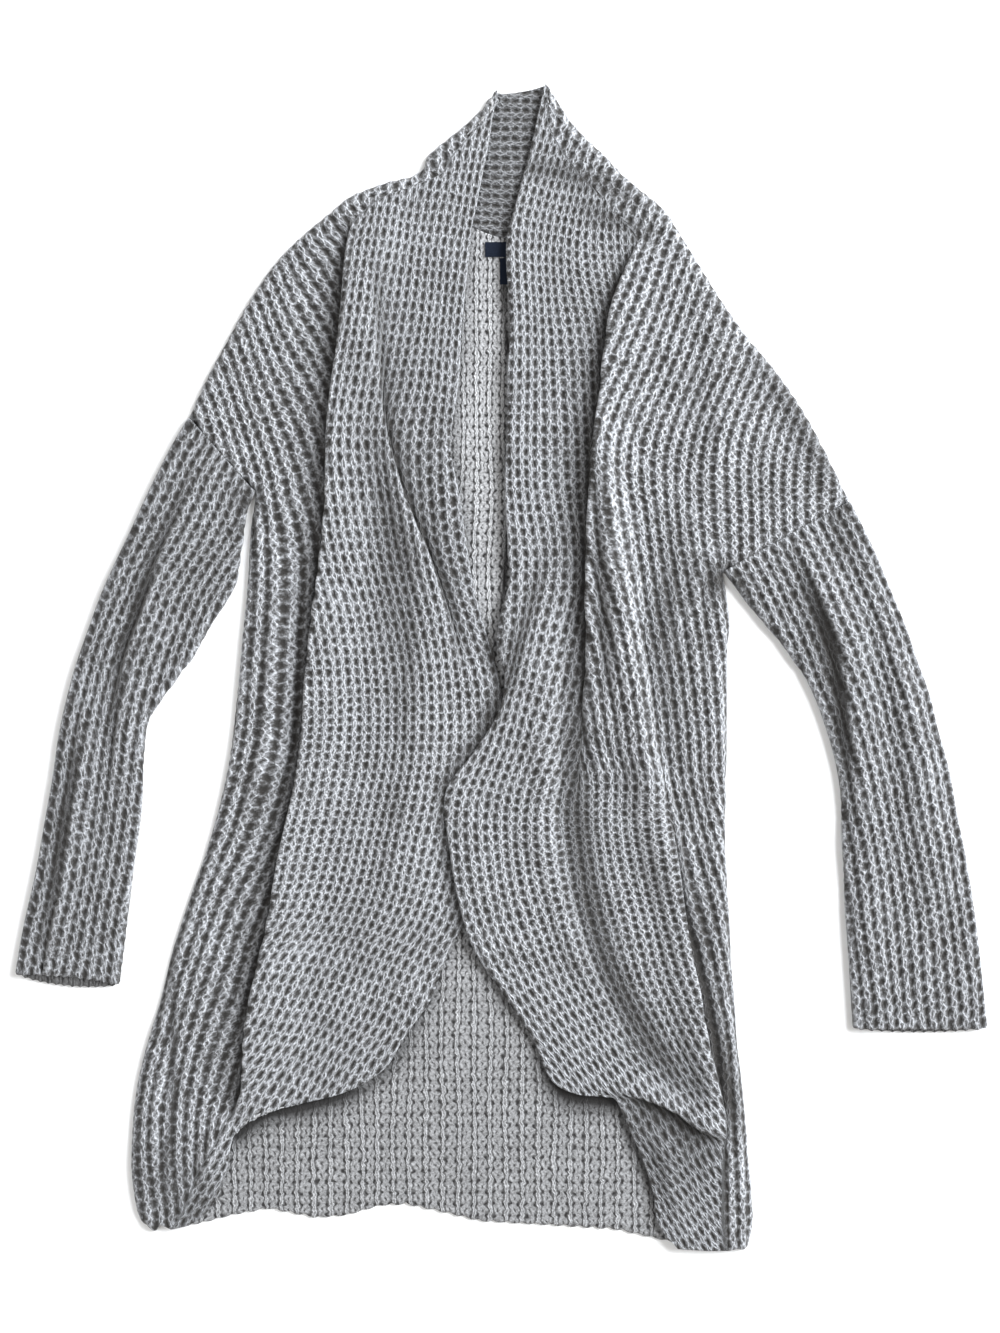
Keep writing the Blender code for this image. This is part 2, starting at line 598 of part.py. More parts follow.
def main():
    for piece in list(bpy.data.objects):
        bpy.data.objects.remove(piece)
    yarn = material("waffle_knit", (0.33, 0.34, 0.36), 0.95)
    inside = material("waffle_knit_inside", (0.40, 0.41, 0.43), 0.95)
    tape = material("label_tape", (0.012, 0.018, 0.034), 0.7)
    build_flat("back", BACK, inside, hem_shares=HEM_SHARES)
    build_flat("collar", COLLAR, inside, seam_lift=GAP)
    build_front("front_left", LEFT_FRONT, (3, 7), LEFT_FRONT_FOLDS, no_rise, yarn)
    build_front("front_right", RIGHT_FRONT, (3, 1, 5), RIGHT_FRONT_FOLDS, overlap_rise, yarn)
    build_sleeve("sleeve_left", LEFT_SLEEVE, LEFT_SLEEVE_FOLDS, yarn)
    build_sleeve("sleeve_right", RIGHT_SLEEVE, RIGHT_SLEEVE_FOLDS, yarn)
    lying = WALL + GAP
    dress(strip("neck_label", LABEL_CORNER, LABEL_SIZE, lying, LABEL_WALL), tape)
    dress(strip("size_tab", TAB_CORNER, TAB_SIZE, lying, LABEL_WALL), tape)


if __name__ == "__main__":
    main()
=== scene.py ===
"""The looks of a buttonless cardigan in a chunky waffle knit, laid flat and seen from above.

Every cloth piece is a closed wall that follows the same sections and folds as the solids. Its
outer face carries the knit's relief, and each point keeps its place in the knit, counted in
wales across and courses down, from which the yarn materials draw their stitches. Lengths are in
millimetres until a mesh is made. X runs across, +Y points to the collar, +Z points up.
"""

import logging
import math
from dataclasses import dataclass
from enum import Enum

import bmesh
import bpy
import numpy as np
from bpy.types import Material, Mesh, Node, NodeSocket, NodeTree, Object
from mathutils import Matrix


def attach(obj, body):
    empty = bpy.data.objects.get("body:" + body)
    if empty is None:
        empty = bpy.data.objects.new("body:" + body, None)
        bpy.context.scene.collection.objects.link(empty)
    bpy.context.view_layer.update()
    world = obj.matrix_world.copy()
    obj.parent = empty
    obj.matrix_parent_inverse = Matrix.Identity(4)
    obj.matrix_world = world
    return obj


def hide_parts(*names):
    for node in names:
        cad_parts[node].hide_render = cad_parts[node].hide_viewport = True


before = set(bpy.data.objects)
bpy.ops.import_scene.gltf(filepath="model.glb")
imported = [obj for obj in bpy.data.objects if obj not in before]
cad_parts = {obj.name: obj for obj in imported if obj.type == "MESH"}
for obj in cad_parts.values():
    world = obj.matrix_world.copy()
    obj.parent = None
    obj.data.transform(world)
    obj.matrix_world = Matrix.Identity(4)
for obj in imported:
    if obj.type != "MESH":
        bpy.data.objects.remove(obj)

LOG = logging.getLogger("cardigan")
Array = np.ndarray
Row = tuple[float, ...]
Table = tuple[Row, ...]
Pair = tuple[float, float]
Triple = tuple[float, float, float]

MM = 0.001
WALL = 3.5
GAP = 0.3
BACK_MIDDLE = WALL / 2
FRONT_MIDDLE = 6.8
OVERLAP_RISE = 4.6
GARMENT_CENTRE = np.array((1.0, -2.5))
ROLL_WIDTH = WALL / 2 + FRONT_MIDDLE
ROLL_HOLLOW = math.sqrt((FRONT_MIDDLE - WALL / 2) ** 2 - WALL**2)
OUTLINE_SLACK = 2.2
BACK_INSET = ROLL_WIDTH - ROLL_HOLLOW + GAP + OUTLINE_SLACK
ROLL_STEPS = 6
SEAM_FADE = 22.0
LEAST_LIFT = -0.8
# How laps and ridges stand, and how far and how dark the painted shade of the creases beside them
# is.
CREASE_RUN = 4.0
CREASE_SHADE_REACH = 3.0
CREASE_TUCK = 0.85
CREASE_SHADE_WIDTH = 4.5
BROAD_SHADE_BALANCE = 20.0
LAP_FULL_SHADE_HEIGHT = 8.0
RIDGE_GAIN = 1.5
TROUGH_SHADE = 0.1
TROUGH_SHADE_LIMIT = 0.8
# Painted shade over the whole collar stand, and over the back towards its hem.
COLLAR_SHADE = 0.53
HEM_SHADE = 0.4
HEM_SHADE_FADE = (-290.0, -110.0)
# Columns beside a crease, and those that the inner face keeps.
STANDOFF_STEP = 0.9
STANDOFF_COUNT = 7
STANDOFF_SHARE = 2.6
KEPT_COLUMNS = 4
KEPT_CREASE = 7 / 60
# The knit: the levels that its relief is measured from, and how loose its stitches hang.
FACE_LEVEL = 0.85
REVERSE_LEVEL = 0.6
SIDE_LOOSENESS = 0.65
SLEEVE_LOOSENESS = 0.45
# Where the front on top fades into its overlap: across, below and above.
OVERLAP_SIDE = (18.0, 52.0)
OVERLAP_FOOT = (-250.0, -212.0)
OVERLAP_HEAD = (24.0, 62.0)

# Rows of a front from the collar to the hem: side x, y; crease x, y; edge x, y; turned side.
LEFT_FRONT: Table = (
    (-8, 458, -5, 460, -2, 462, 1), (-14, 449, -7, 452, -2, 454, 1),
    (-25, 438, -11, 442, -5, 445, 1), (-42, 424, -24, 425, -8, 426, 1),
    (-58, 410, -38, 409, -11, 408, 1),
    (-64, 398, -46, 396, -14, 394, 1), (-92, 389, -72, 384, -17, 379, 1),
    (-120, 378, -98, 372, -19, 368, 1), (-135, 366, -114, 358, -22, 355, 1),
    (-160, 345, -122, 338, -24, 338, 1), (-181, 323, -125, 314, -27, 306, 1),
    (-201, 294, -127, 290, -31, 271, 1), (-221, 258, -130, 254, -32, 236, 1),
    (-238, 226, -135, 218, -37, 202, 1), (-249, 201, -138, 193, -40, 181, 1),
    (-236, 186, -138, 179, -38, 165, 0), (-222, 171, -138, 165, -34, 147, 0),
    (-209, 156, -139, 152, -31, 134, 0), (-196, 141, -140, 138, -27, 118, 1),
    (-199, 117, -142, 110, -24, 98, 1), (-202, 74, -146, 72, -19, 69, 1),
    (-207, 22, -151, 24, -7, 18, 1), (-210, -10, -154, -10, 1, -18, 1),
    (-215, -58, -158, -59, 6, -58, 1), (-224, -106, -166, -106, 6, -106, 1),
    (-235, -146, -175, -146, 0, -154, 1), (-248, -183, -182, -186, -16, -187, 1),
    (-262, -226, -191, -226, -40, -223, 1), (-273, -270, -200, -266, -56, -266, 1),
    (-282, -298, -204, -302, -76, -294, 1), (-289, -325, -206, -326, -93, -321, 1),
    (-293, -350, -208, -346, -124, -339, 1), (-295, -374, -218, -360, -160, -348, 1),
    (-296, -398, -228, -382, -190, -354, 1), (-294, -419, -240, -402, -211, -370, 1),
    (-290, -437, -248, -422, -220, -406, 1), (-284, -447, -256, -440, -233, -434, 1),
    (-276, -452, -263, -449, -249, -446, 1),
)
# The same with one more pair of columns, the hip, between the side and the crease.
RIGHT_FRONT: Table = (
    (43, 461, 40, 463, 38, 465, 36, 467, 1), (49, 450, 42, 451, 38, 452, 33, 454, 1),
    (57, 438, 45, 437, 38, 438, 30, 440, 1), (70, 424, 56, 422, 44, 422, 26, 422, 1),
    (85, 410, 68, 408, 54, 407, 22, 406, 1), (99, 395, 81, 392, 66, 391, 18, 392, 1),
    (117, 380, 99, 377, 82, 376, 14, 376, 1), (133, 366, 113, 362, 96, 361, 10, 362, 1),
    (142, 352, 122, 348, 106, 347, 6, 346, 1), (160, 323, 134, 323, 102, 325, 5, 325, 1),
    (178, 294, 138, 293, 89, 294, 7, 294, 1), (198, 266, 138, 264, 83, 266, 8, 266, 1),
    (222, 237, 138, 235, 80, 237, 6, 237, 1), (242, 208, 134, 206, 77, 208, 6, 208, 1),
    (258, 179, 131, 178, 72, 179, 5, 179, 1), (280, 134, 125, 142, 70, 144, 4, 150, 1),
    (263, 125, 122, 129, 69, 131, 4, 133, 0), (246, 115, 119, 114, 69, 116, 5, 118, 0),
    (229, 106, 117, 101, 68, 103, 6, 102, 0), (212, 96, 116, 88, 67, 89, 6, 90, 0),
    (195, 86, 115, 75, 67, 75, 7, 75, 0), (178, 77, 116, 59, 67, 59, 3, 58, 1),
    (181, 61, 117, 42, 67, 42, -2, 40, 1),
    (184, 38, 118, 21, 68, 22, -5, 18, 1), (182, 3, 122, -11, 66, -10, 1, -10, 1),
    (182, -34, 125, -45, 64, -38, -2, -35, 1), (182, -70, 128, -75, 62, -70, -21, -67, 1),
    (181, -106, 133, -110, 64, -106, -43, -98, 1),
    (181, -146, 141, -147, 80, -146, -40, -146, 1),
    (183, -186, 147, -186, 96, -182, -33, -186, 1),
    (185, -222, 152, -222, 112, -215, -22, -222, 1),
    (188, -266, 161, -266, 122, -259, 6, -266, 1),
    (190, -298, 166, -298, 132, -294, 26, -296, 1),
    (194, -334, 175, -334, 144, -330, 46, -334, 1),
    (196, -355, 179, -354, 146, -347, 68, -342, 1),
    (198, -376, 180, -373, 147, -362, 86, -340, 1),
    (199, -394, 179, -390, 149, -379, 98, -358, 1),
    (201, -410, 178, -406, 152, -398, 112, -388, 1),
    (202, -426, 178, -424, 154, -421, 122, -418, 1),
    (203, -443, 178, -443, 157, -443, 126, -443, 1),
    (198, -466, 182, -466, 166, -466, 142, -464, 1),
)
# Rows of a sleeve from the armhole to the cuff: outer x, y; inner x, y.
LEFT_SLEEVE: Table = (
    (-249, 201, -196, 141), (-262, 179, -202, 126), (-277, 150, -204, 112),
    (-297, 107, -207, 92), (-317, 64, -212, 66), (-330, 29, -229, 38), (-340, 0, -243, 13),
    (-347, -26, -262, -13), (-353, -54, -280, -40), (-357, -82, -284, -66),
    (-364, -122, -287, -114), (-372, -166, -294, -166), (-381, -206, -298, -206),
    (-388, -245, -304, -253),
)
RIGHT_SLEEVE: Table = (
    (280, 134, 178, 77), (290, 114, 189, 64), (300, 93, 199, 50), (312, 64, 213, 34),
    (324, 35, 230, 13), (334, 6, 245, -10), (344, -22, 255, -32), (351, -51, 263, -55),
    (359, -80, 270, -83), (366, -118, 273, -118), (373, -152, 274, -154),
    (379, -190, 276, -190), (384, -230, 279, -232), (390, -288, 282, -288),
)
# Rows of the back and of the collar's stand: left x, y; right x, y; sag; inside a turned side.
NECKLINE: Row = (-60, 392, 110, 372, 41, 0)
BACK: Table = (
    NECKLINE, (-120, 378, 152, 338, 34, 1), (-160, 345, 178, 294, 22, 1),
    (-201, 294, 222, 237, 10, 1), (-229, 243, 250, 194, 4, 1), (-249, 201, 280, 134, 0, 1),
    (-231, 181, 246, 115, 0, 0), (-214, 161, 212, 96, 0, 0), (-196, 141, 178, 77, 0, 1),
    (-202, 74, 183, 37, 0, 1), (-207, 22, 182, -10, 0, 1), (-215, -58, 182, -70, 0, 1),
    (-235, -146, 181, -146, 0, 1), (-262, -226, 185, -222, 0, 1),
    (-282, -298, 190, -298, 0, 1), (-293, -350, 195, -350, 0, 1),
    (-296, -398, 200, -398, 0, 1), (-290, -434, 203, -443, 0, 1),
    (-280, -448, 198, -465, 0, 1),
)
COLLAR: Table = (
    (-2, 461, 36, 467, 2, 0), (-13, 450, 47, 453, 0, 1), (-26, 437, 57, 437, 0, 1),
    (-42, 423, 70, 423, 4, 1), (-56, 408, 86, 408, 14, 1), NECKLINE,
)
# The hem below its line: x, rise.
HEM_RISE: Table = (
    (-280, 0), (-243, -1), (-212, 8), (-185, 14), (-147, 8), (-123, 11), (-96, 20), (-75, 22),
    (-51, 18), (-16, 11), (45, 10), (93, 9), (141, 0), (165, -4), (198, 0),
)
# The free edge of the front on top, where it lies over the other front: y, x.
TOP_FRONT_EDGE: Table = (
    (-230, -22), (-202, -29), (-154, -39), (-106, -43), (-91, -43), (-58, -16), (-14, 2),
    (18, -4), (60, 2),
)


class Bend(Enum):
    """How a fold stands: a lap leans over on one side, a ridge is soft on both."""

    LAP = "lap"
    RIDGE = "ridge"


@dataclass(frozen=True)
class Fold:
    """One fold of the cloth along a path of x, y and height.

    A lap rises within near millimetres of the path to stand on one side of it, the left one
    where raised is 1, falls off by far millimetres and has painted shade on the other side,
    reaching about shelter millimetres. A ridge falls off over far millimetres on that side and
    over near on the other. Negative heights make it a trough, which is painted darker.
    """

    bend: Bend
    raised: int
    near: float
    far: float
    path: Table
    # How far the painted shade beside a lap, or beside a free edge over the back, reaches.
    shelter: float = 16.0


# A trough sinks the cloth by no more than LEAST_LIFT, so it shows mostly as painted shade.
LEFT_FRONT_FOLDS = (
    Fold(Bend.LAP, 1, CREASE_RUN, 48, (
        (-117, 364, 0), (-123, 334, 7), (-127, 290, 10), (-133, 236, 12), (-138, 191, 12),
        (-139, 146, 12), (-142, 102, 12), (-149, 48, 12), (-154, 6, 12), (-158, -48, 12),
        (-164, -91, 12), (-172, -128, 12), (-178, -158, 12), (-185, -202, 13), (-194, -240, 13),
        (-203, -285, 13), (-206, -330, 10), (-214, -362, 0))),
    Fold(Bend.LAP, -1, 7, 44, (
        (-102, 336, 0), (-98, 294, 4), (-95, 250, 5), (-92, 209, 7), (-84, 170, 9),
        (-71, 130, 10), (-55, 92, 10), (-42, 52, 7), (-35, 24, 4), (-30, -6, 0)), 24.0),
    Fold(Bend.RIDGE, 1, 9, 12, (
        (-48, 198, 0), (-42, 142, 2), (-36, 98, 2), (-26, 61, 2), (-18, 29, 1), (-12, 6, 0))),
    Fold(Bend.RIDGE, 1, 16, 16, (
        (-108, 270, 0), (-101, 200, -3), (-93, 130, -5), (-86, 70, -5), (-80, 10, -4),
        (-76, -50, 0))),
    Fold(Bend.RIDGE, 1, 16, 22, (
        (-74, 60, 0), (-66, 10, 4), (-64, -50, 5), (-72, -120, 5), (-90, -190, 4),
        (-112, -250, 0))),
    Fold(Bend.RIDGE, 1, 8, 10, (
        (-178, 120, 0), (-182, 60, 3), (-186, 0, 4), (-192, -60, 4), (-202, -120, 3),
        (-214, -170, 0))),
    Fold(Bend.RIDGE, -1, 12, 20, (
        (-86, 400, 0), (-92, 360, 3), (-98, 310, 4), (-100, 260, 3), (-100, 220, 0))),
    Fold(Bend.RIDGE, -1, 6, 9, (
        (-272, -250, 0), (-273, -298, 3), (-276, -340, 4), (-279, -378, 4), (-275, -418, 3),
        (-268, -440, 0))),
    Fold(Bend.RIDGE, 1, 3.5, 3.5, (
        (-260, -215, 0), (-261, -250, -6), (-261, -300, -8), (-261, -345, -8), (-263, -368, -8),
        (-267, -386, -8), (-265, -420, -6), (-262, -440, 0))),
    Fold(Bend.RIDGE, 1, 9, 12, (
        (-200, -340, 0), (-222, -372, 4), (-238, -406, 4), (-248, -438, 0))),
    Fold(Bend.RIDGE, 1, 26, 26, (
        (-290, -370, -1), (-272, -405, -4), (-245, -430, -5), (-205, -440, -4))),
)
RIGHT_FRONT_FOLDS = (
    Fold(Bend.LAP, 1, CREASE_RUN, 50, (
        (118, 352, 0), (102, 325, 5), (89, 294, 9), (82, 254, 12), (78, 214, 13), (73, 182, 13),
        (69, 123, 12), (67, 59, 11), (68, 16, 9), (65, -38, 7), (62, -74, 4), (62, -116, 0))),
    Fold(Bend.RIDGE, 1, 18, 10, (
        (78, 250, 0), (80, 180, 4), (84, 126, 7), (91, 84, 8), (101, 30, 9), (108, -18, 9),
        (116, -74, 8), (125, -120, 6), (136, -160, 4), (146, -190, 0))),
    Fold(Bend.RIDGE, 1, 14, 14, (
        (150, 130, 0), (142, 95, -4), (134, 60, -6), (130, 30, -6), (132, 0, -5),
        (138, -40, -4), (148, -90, -2), (152, -130, 0))),
    Fold(Bend.RIDGE, 1, 16, 16, (
        (206, 262, 0), (226, 228, -4), (244, 192, -5), (262, 160, -5))),
    Fold(Bend.RIDGE, 1, 8, 8, (
        (160, -70, 0), (164, -120, -2), (167, -180, -3), (170, -240, -3), (177, -300, -2),
        (184, -340, 0))),
    Fold(Bend.LAP, -1, 5, 18, (
        (180, 84, 0), (171, 78, 4), (165, 70, 5), (162, 57, 4), (162, 38, 3), (164, 8, 2),
        (167, -24, 0)), 12.0),
    Fold(Bend.RIDGE, 1, 7, 7, (
        (76, 200, 0), (78, 140, -4), (80, 80, -5), (84, 20, -4), (86, -40, 0))),
    Fold(Bend.RIDGE, 1, 14, 14, (
        (60, 60, 0), (58, 10, -5), (57, -40, -7), (59, -90, -8), (64, -140, -8), (71, -182, -8),
        (80, -218, -8), (93, -252, -8), (112, -286, -8), (134, -316, -7), (156, -340, -3))),
    Fold(Bend.RIDGE, 1, 9, 9, (
        (50, 376, 0), (72, 367, -5), (92, 358, -6), (112, 349, -5), (126, 336, 0))),
    Fold(Bend.LAP, -1, CREASE_RUN, 30, (
        (135, -118, 0), (141, -148, 4), (147, -186, 6), (153, -222, 8), (161, -264, 9),
        (167, -298, 9), (175, -332, 9), (180, -354, 7), (182, -372, 4), (181, -396, 0)), 15.0),
    Fold(Bend.LAP, -1, 6, 28, (
        (186, -376, 0), (172, -374, 5), (156, -368, 8), (138, -355, 9), (114, -345, 7),
        (88, -339, 1)), 60.0),
    Fold(Bend.RIDGE, 1, 3, 3, (
        (182, -366, 0), (180, -386, -8), (179, -420, -8), (179, -446, -8), (179, -466, -7))),
    Fold(Bend.LAP, 1, 11, 34, (
        (44, 122, 0), (36, 92, 2), (27, 60, 4), (17, 22, 5), (6, -14, 4), (-6, -42, 2),
        (-18, -64, 0)), 24.0),
    Fold(Bend.RIDGE, 1, 12, 12, (
        (46, 40, 0), (40, 0, 3), (34, -40, 4), (36, -80, 3), (42, -120, 0))),
    Fold(Bend.RIDGE, 1, 8, 10, (
        (118, -366, 0), (132, -390, 3), (140, -420, 3), (146, -452, 0))),
    Fold(Bend.RIDGE, 1, 9, 9, (
        (6, 402, 0), (20, 400, -5), (44, 397, -6), (76, 388, -6), (100, 376, -3),
        (122, 362, 0))),
    Fold(Bend.RIDGE, 1, 9, 16, (
        (8, 400, 0), (9, 340, 2), (9, 260, 3), (8, 180, 3), (9, 110, 3), (6, 60, 3),
        (0, 20, 2), (-2, -20, 0))),
    Fold(Bend.RIDGE, 1, 12, 20, (
        (166, 300, 0), (174, 240, 3), (176, 180, 3), (170, 130, 0))),
    Fold(Bend.RIDGE, 1, 10, 24, (
        (40, -60, 0), (34, -120, 3), (44, -180, 4), (66, -230, 4), (94, -280, 3),
        (120, -320, 0))),
)
# Painted shade in the hollows under the arms: x, y, radius and depth of the shade.
ARMPIT_SHADES = (
    (-200.0, 132.0, 11.0, 1.0), (-204.0, 112.0, 9.0, 0.8),
    (173.0, 70.0, 14.0, 1.0), (188.0, 66.0, 12.0, 0.9),
)
# The fronts' free edges over the back: in place of a height, ten times the painted shadow beside
# them.
TOP_EDGES = (
    Fold(Bend.RIDGE, 1, 9, 9, (
        (36, 470, 8), (32, 458, 9), (26, 427, 9), (18, 397, 9), (12, 366, 9), (6, 336, 12),
        (3, 305, 12), (4, 279, 8), (6, 260, 14), (8, 240, 8), (7, 200, 6), (6, 166, 14),
        (6, 130, 7), (4, 78, 14), (1, 40, 8), (-2, 14, 10)), 2.4),
    Fold(Bend.RIDGE, 1, 9, 9, (
        (-26, -200, 5), (-14, -240, 6), (3, -266, 7), (24, -286, 7), (32, -305, 8), (42, -326, 11),
        (54, -342, 12), (86, -343, 14), (112, -341, 14), (124, -350, 14)), 20.0),
    Fold(Bend.RIDGE, 1, 9, 9, (
        (-40, -226, 5), (-57, -266, 7), (-73, -296, 8), (-89, -319, 9), (-106, -335, 9),
        (-126, -342, 12), (-160, -350, 14), (-190, -356, 14), (-211, -371, 14)), 16.0),
    Fold(Bend.RIDGE, 1, 9, 9, (
        (92, -350, 8), (108, -385, 9), (124, -420, 10), (138, -450, 9), (146, -466, 8)), 12.0),
    Fold(Bend.RIDGE, 1, 9, 9, (
        (-16, 392, 1), (-24, 342, 5), (-31, 271, 6), (-34, 236, 6), (-38, 182, 6), (-30, 122, 5),
        (-22, 81, 3), (-11, 38, 0)), 10.0),
)
LEFT_SLEEVE_FOLDS = (
    Fold(Bend.LAP, 1, CREASE_RUN, 34, (
        (-240, 172, 0), (-254, 132, 4), (-270, 92, 6), (-286, 44, 7), (-299, 4, 6),
        (-306, -44, 4), (-310, -86, 2), (-314, -130, 0))),
    Fold(Bend.LAP, 1, CREASE_RUN, 20, (
        (-330, -20, 0), (-336, -60, 4), (-342, -110, 6), (-349, -150, 6), (-356, -195, 5),
        (-363, -235, 3)), 22.0),
    Fold(Bend.RIDGE, 1, 6, 8, (
        (-276, -30, 0), (-292, -48, 3), (-304, -62, 0))),
)
RIGHT_SLEEVE_FOLDS = (
    Fold(Bend.LAP, 1, 6, 36, (
        (232, 104, 0), (247, 72, 5), (262, 36, 8), (273, -8, 8), (279, -60, 7),
        (281, -116, 4), (282, -170, 3), (285, -230, 3), (288, -284, 2)), 30.0),
    Fold(Bend.RIDGE, 1, 12, 12, (
        (258, 146, -4), (268, 122, -6), (278, 94, -5), (290, 60, 0))),
    Fold(Bend.RIDGE, 1, 12, 18, (
        (284, 108, 0), (306, 50, 3), (324, -10, 4), (334, -80, 4), (342, -160, 3),
        (350, -240, 0))),
)

# Rows of a knit guide, along one of its wales: y, x, wale width, course height, course slope.
LEFT_PANEL_KNIT: Table = (
    (461, -2, 6.0, 8.8, -0.18), (342, -24, 6.0, 8.8, -0.15), (271, -31, 6.1, 8.8, -0.11),
    (236, -34, 6.3, 8.8, -0.09), (182, -38, 6.6, 8.9, 0.00), (122, -30, 6.8, 8.9, 0.13),
    (81, -22, 6.9, 9.0, 0.16), (38, -11, 7.0, 9.0, 0.18), (-7, -2, 7.2, 9.1, 0.14),
    (-58, 0, 7.3, 9.1, 0.00), (-130, -10, 7.5, 9.2, -0.20), (-202, -29, 7.6, 9.2, -0.40),
    (-231, -46, 7.6, 9.2, -0.45), (-281, -69, 7.6, 9.2, -0.50), (-321, -93, 7.6, 9.2, -0.50),
    (-394, -132, 7.6, 9.2, -0.50), (-446, -160, 7.6, 9.2, -0.50),
)
LEFT_SIDE_KNIT: Table = (
    (374, -280, 9.6, 8.0, 0.38), (266, -236, 9.6, 8.0, 0.37), (158, -200, 9.6, 8.0, 0.29),
    (86, -190, 9.9, 8.7, 0.10), (22, -194, 10.1, 9.1, 0.00), (-58, -200, 10.3, 9.1, -0.02),
    (-122, -216, 9.9, 9.1, 0.03), (-186, -240, 9.6, 9.2, 0.08),
    (-234, -256, 9.3, 9.2, 0.12), (-282, -268, 9.1, 9.2, 0.16),
    (-330, -280, 9.0, 9.2, 0.20), (-394, -284, 9.0, 9.2, 0.20),
    (-442, -280, 9.0, 9.2, 0.15),
)
RIGHT_PANEL_KNIT: Table = (
    (464, 36, 6.0, 8.8, -0.25), (338, 4, 6.0, 8.8, -0.18), (270, 6, 6.1, 8.8, 0.00),
    (150, 4, 6.7, 8.9, 0.00), (78, 7, 6.9, 9.0, 0.00), (22, 0, 7.0, 9.0, -0.20),
    (-58, -20, 7.4, 9.1, -0.28), (-106, -38, 7.9, 9.1, -0.15), (-154, -39, 8.2, 9.2, 0.10),
    (-202, -29, 8.2, 9.2, 0.30), (-246, -9, 7.7, 9.2, 0.45), (-290, 20, 7.1, 9.2, 0.55),
    (-346, 60, 6.6, 9.2, 0.57), (-386, 88, 6.6, 9.2, 0.59), (-426, 116, 6.6, 9.2, 0.60),
    (-470, 144, 6.6, 9.2, 0.60),
)
RIGHT_SIDE_KNIT: Table = (
    (438, 192, 9.6, 8.0, -0.38), (334, 152, 9.6, 8.0, -0.37), (246, 120, 9.6, 8.0, -0.36),
    (174, 94, 9.6, 8.0, -0.34), (113, 97, 9.3, 8.4, -0.17), (59, 107, 8.8, 9.0, -0.06),
    (16, 116, 8.5, 9.1, 0.01), (-48, 125, 8.1, 9.1, 0.06), (-91, 129, 7.8, 9.1, 0.09),
    (-138, 140, 8.1, 9.1, 0.10), (-186, 152, 8.2, 9.2, 0.10), (-246, 166, 7.8, 9.2, 0.03),
    (-298, 174, 7.8, 9.2, 0.00), (-346, 178, 7.8, 9.2, 0.00), (-426, 181, 7.8, 9.2, 0.00),
    (-470, 182, 7.8, 9.2, 0.00),
)
BACK_KNIT: Table = (
    (460, -8, 10.4, 8.4, 0.0), (240, -8, 10.6, 8.4, 0.0), (60, -8, 12.0, 8.8, 0.0),
    (-200, -8, 12.8, 9.0, 0.0), (-470, -8, 12.8, 9.0, 0.0),
)


def eased(value: Array, low: float, high: float) -> Array:
    """0 below low, 1 above high, and a smooth step between them."""
    share = np.clip((value - low) / (high - low), 0.0, 1.0)
    return share * share * (3.0 - 2.0 * share)


def totals(steps: Array) -> Array:
    """The running total of some steps, from zero."""
    return np.concatenate([[0.0], np.cumsum(steps)])


def even_places(length: float, step: float) -> Array:
    """Places along a length, evenly spread and about a step apart."""
    return np.linspace(0.0, length, int(length / step) + 1)


def rounded_half(rim: Array, least: float, reach: float) -> Array:
    """Half the wall's thickness, rounded off to a least share within a reach of the rim."""
    inside = 1.0 - np.clip(rim / reach, 0.0, 1.0)
    return WALL / 2 * (least + (1.0 - least) * np.sqrt(1.0 - inside**2))


def loops(count: Array) -> Array:
    """The scallops of the yarn along an edge: 0 between two loops and 1 on each of them."""
    return 1.0 - abs(np.cos(math.pi * count)) ** 0.7


def smooth_track(
    knots: Array, values: Array, at: Array, corners: tuple[int, ...] = ()
) -> Array:
    """Draw a smooth curve through the rows of a table.

    Args:
        knots: where each row lies along the piece.
        values: one row of numbers for each knot.
        at: the places to read.
        corners: the rows where the curve may turn sharply.

    Returns:
        One row of numbers for each place.
    """
    out = np.empty((len(at), values.shape[1]))
    stops = sorted({0, *corners, len(knots) - 1})
    for first, last in zip(stops, stops[1:]):
        piece = slice(first, last + 1)
        x, v = knots[piece], values[piece]
        slopes = np.gradient(v, x, axis=0)
        inside = (at >= x[0]) & (at <= x[-1])
        here = at[inside]
        start = np.clip(np.searchsorted(x, here, side="right") - 1, 0, len(x) - 2)
        span = (x[start + 1] - x[start])[:, None]
        t = ((here - x[start])[:, None]) / span
        out[inside] = (
            (2 * t**3 - 3 * t**2 + 1) * v[start]
            + (t**3 - 2 * t**2 + t) * span * slopes[start]
            + (3 * t**2 - 2 * t**3) * v[start + 1]
            + (t**3 - t**2) * span * slopes[start + 1]
        )
    return out


@dataclass(frozen=True)
class Drift:
    """A slow, even-handed wander over the plan."""

    size: float
    length: float
    seed: int

    def at(self, plan: Array) -> Array:
        """Read the wander.

        Args:
            plan: points, in millimetres.

        Returns:
            One number for each point, between about -size and size.
        """
        dice = np.random.default_rng(self.seed)
        total = np.zeros(plan.shape[:-1])
        for _ in range(6):
            angle = dice.uniform(0, math.tau)
            wave = dice.uniform(0.7, 1.5) * math.tau / self.length
            phase = dice.uniform(0, math.tau)
            total += np.sin(wave * (plan @ (math.cos(angle), math.sin(angle))) + phase)
        return self.size * total / 3.0


FRONT_SWELL = Drift(0.8, 70.0, 7)
SLEEVE_SWELL = Drift(0.7, 55.0, 9)
WALE_STRAYS = (Drift(0.10, 70.0, 3), Drift(0.03, 17.0, 5))
COURSE_STRAYS = (Drift(0.12, 60.0, 4), Drift(0.04, 17.0, 6))


